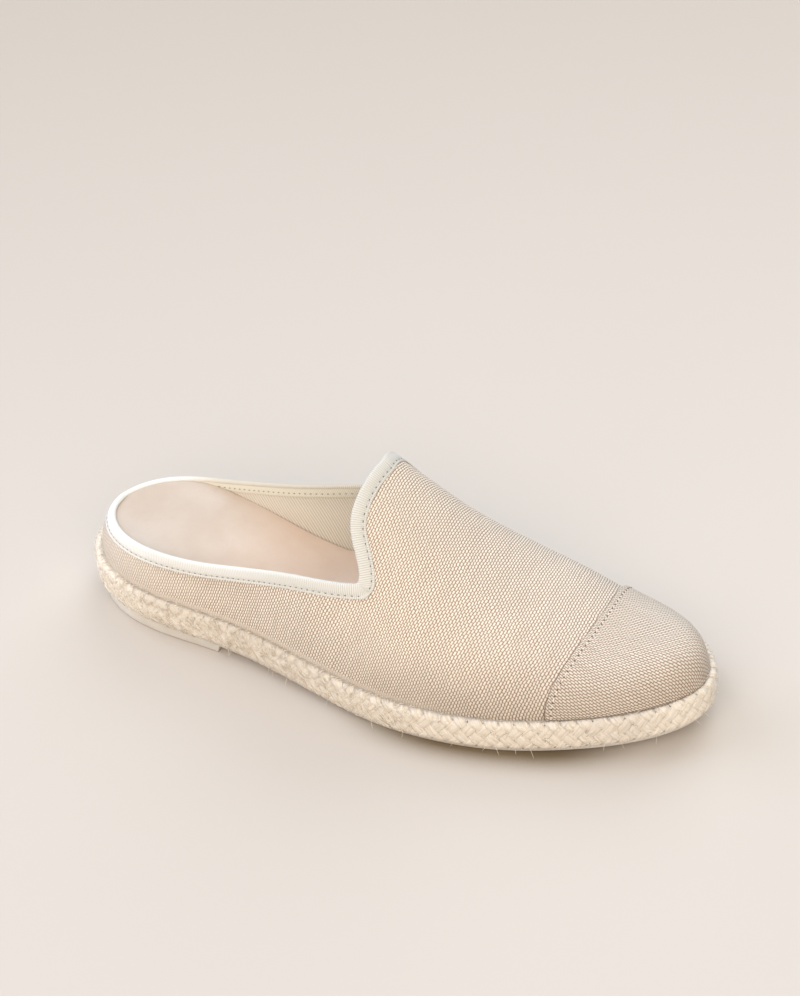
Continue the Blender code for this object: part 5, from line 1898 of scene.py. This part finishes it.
def length_setting(name, description, default, low, high):
    """A length in metres that a user may change."""
    return FloatProperty(
        name=name, description=description, default=default, min=low, max=high,
        precision=5, subtype="DISTANCE", unit="LENGTH")


def colour_setting(name, description, default):
    """A colour that a user may change."""
    return FloatVectorProperty(
        name=name, description=description, default=default, min=0.0, max=1.0,
        size=3, subtype="COLOR")


class MuleSizes(bpy.types.PropertyGroup):
    """Sizes of the mule's cloth, ribbon, plait and tread."""
    thread_pitch: length_setting(
        "Thread pitch", "Distance between threads of the canvas", 0.0011, 0.0006, 0.002)
    rib_pitch: length_setting(
        "Rib pitch", "Distance between ribs of the ribbon", 0.00095, 0.0006, 0.002)
    stitch_pitch: length_setting(
        "Stitch pitch", "Distance between stitches of the ribbon", 0.003, 0.002, 0.006)
    plait_repeat: length_setting(
        "Plait repeat", "Distance between crossings of the jute plait", 0.00647, 0.004, 0.012)
    groove_pitch: length_setting(
        "Groove pitch", "Distance between grooves of the tread", 0.0038, 0.003, 0.006)
    groove_width: length_setting(
        "Groove width", "Width of a groove of the tread", 0.0011, 0.0006, 0.002)
    loose_fibres: IntProperty(
        name="Loose fibres", description="Number of jute fibres standing off the plait",
        default=2600, min=0, max=4000)


class MuleColours(bpy.types.PropertyGroup):
    """Colours of the mule's cloth, ribbon, jute, leather and rubber."""
    cream_thread: colour_setting("Cream thread", "Threads across the canvas", (0.94, 0.87, 0.768))
    sand_thread: colour_setting("Sand thread", "Threads along the canvas", (0.562, 0.436, 0.342))
    lining: colour_setting("Lining", "Cotton twill lining", (0.837, 0.78, 0.675))
    ribbon: colour_setting("Ribbon", "Ribbon round the opening", (0.81, 0.81, 0.775))
    jute: colour_setting("Jute", "Plaited jute", (0.813, 0.764, 0.70))
    leather: colour_setting("Leather", "Top of the insole", (0.563, 0.48, 0.407))
    rubber: colour_setting("Rubber", "Sole and heel block", (0.628, 0.60, 0.556))
    floor: colour_setting("Floor", "Studio floor", (0.582, 0.536, 0.488))


PIECES = (
    ("mule.canvas_upper", "Canvas upper"),
    ("mule.lining", "Lining"),
    ("mule.toe_cap", "Toe cap"),
    ("mule.cap_stitches", "Toe cap stitches"),
    ("mule.ribbon", "Edge ribbon"),
    ("mule.ribbon_stitches", "Ribbon stitches"),
    ("mule.jute_plait", "Jute plait"),
    ("mule.jute_fuzz", "Loose jute fibres"),
    ("mule.outsole", "Outsole"),
    ("mule.insole", "Insole"),
    ("mule.stage", "Stage"),
)


class MULE_PT_pieces(bpy.types.Panel):
    """Lists the mule's pieces, sizes and colours in the sidebar."""
    bl_idname = "MULE_PT_pieces"
    bl_label = "Canvas mule"
    bl_space_type = "VIEW_3D"
    bl_region_type = "UI"
    bl_category = "Mule"

    def draw(self, context):
        column = self.layout.column(align=True)
        for operator, label in PIECES:
            column.operator(operator, text=label)
        for group in (context.scene.mule_sizes, context.scene.mule_colours):
            box = self.layout.box()
            for name in group.bl_rna.properties.keys():
                if name not in ("rna_type", "name"):
                    box.prop(group, name)


CLASSES = (
    MuleSizes,
    MuleColours,
    MULE_OT_canvas_upper,
    MULE_OT_lining,
    MULE_OT_toe_cap,
    MULE_OT_cap_stitches,
    MULE_OT_ribbon,
    MULE_OT_ribbon_stitches,
    MULE_OT_jute_plait,
    MULE_OT_jute_fuzz,
    MULE_OT_outsole,
    MULE_OT_insole,
    MULE_OT_stage,
    MULE_PT_pieces,
)


def register():
    """Add the classes and the settings to Blender."""
    for item in CLASSES:
        bpy.utils.register_class(item)
    bpy.types.Scene.mule_sizes = PointerProperty(type=MuleSizes)
    bpy.types.Scene.mule_colours = PointerProperty(type=MuleColours)


def unregister():
    """Take the classes and the settings away again."""
    del bpy.types.Scene.mule_colours
    del bpy.types.Scene.mule_sizes
    for item in reversed(CLASSES):
        bpy.utils.unregister_class(item)


def main():
    """Build every piece and the stage."""
    register()
    for operator, _ in PIECES:
        family, name = operator.split(".")
        getattr(getattr(bpy.ops, family), name)()


if __name__ == "__main__":
    main()
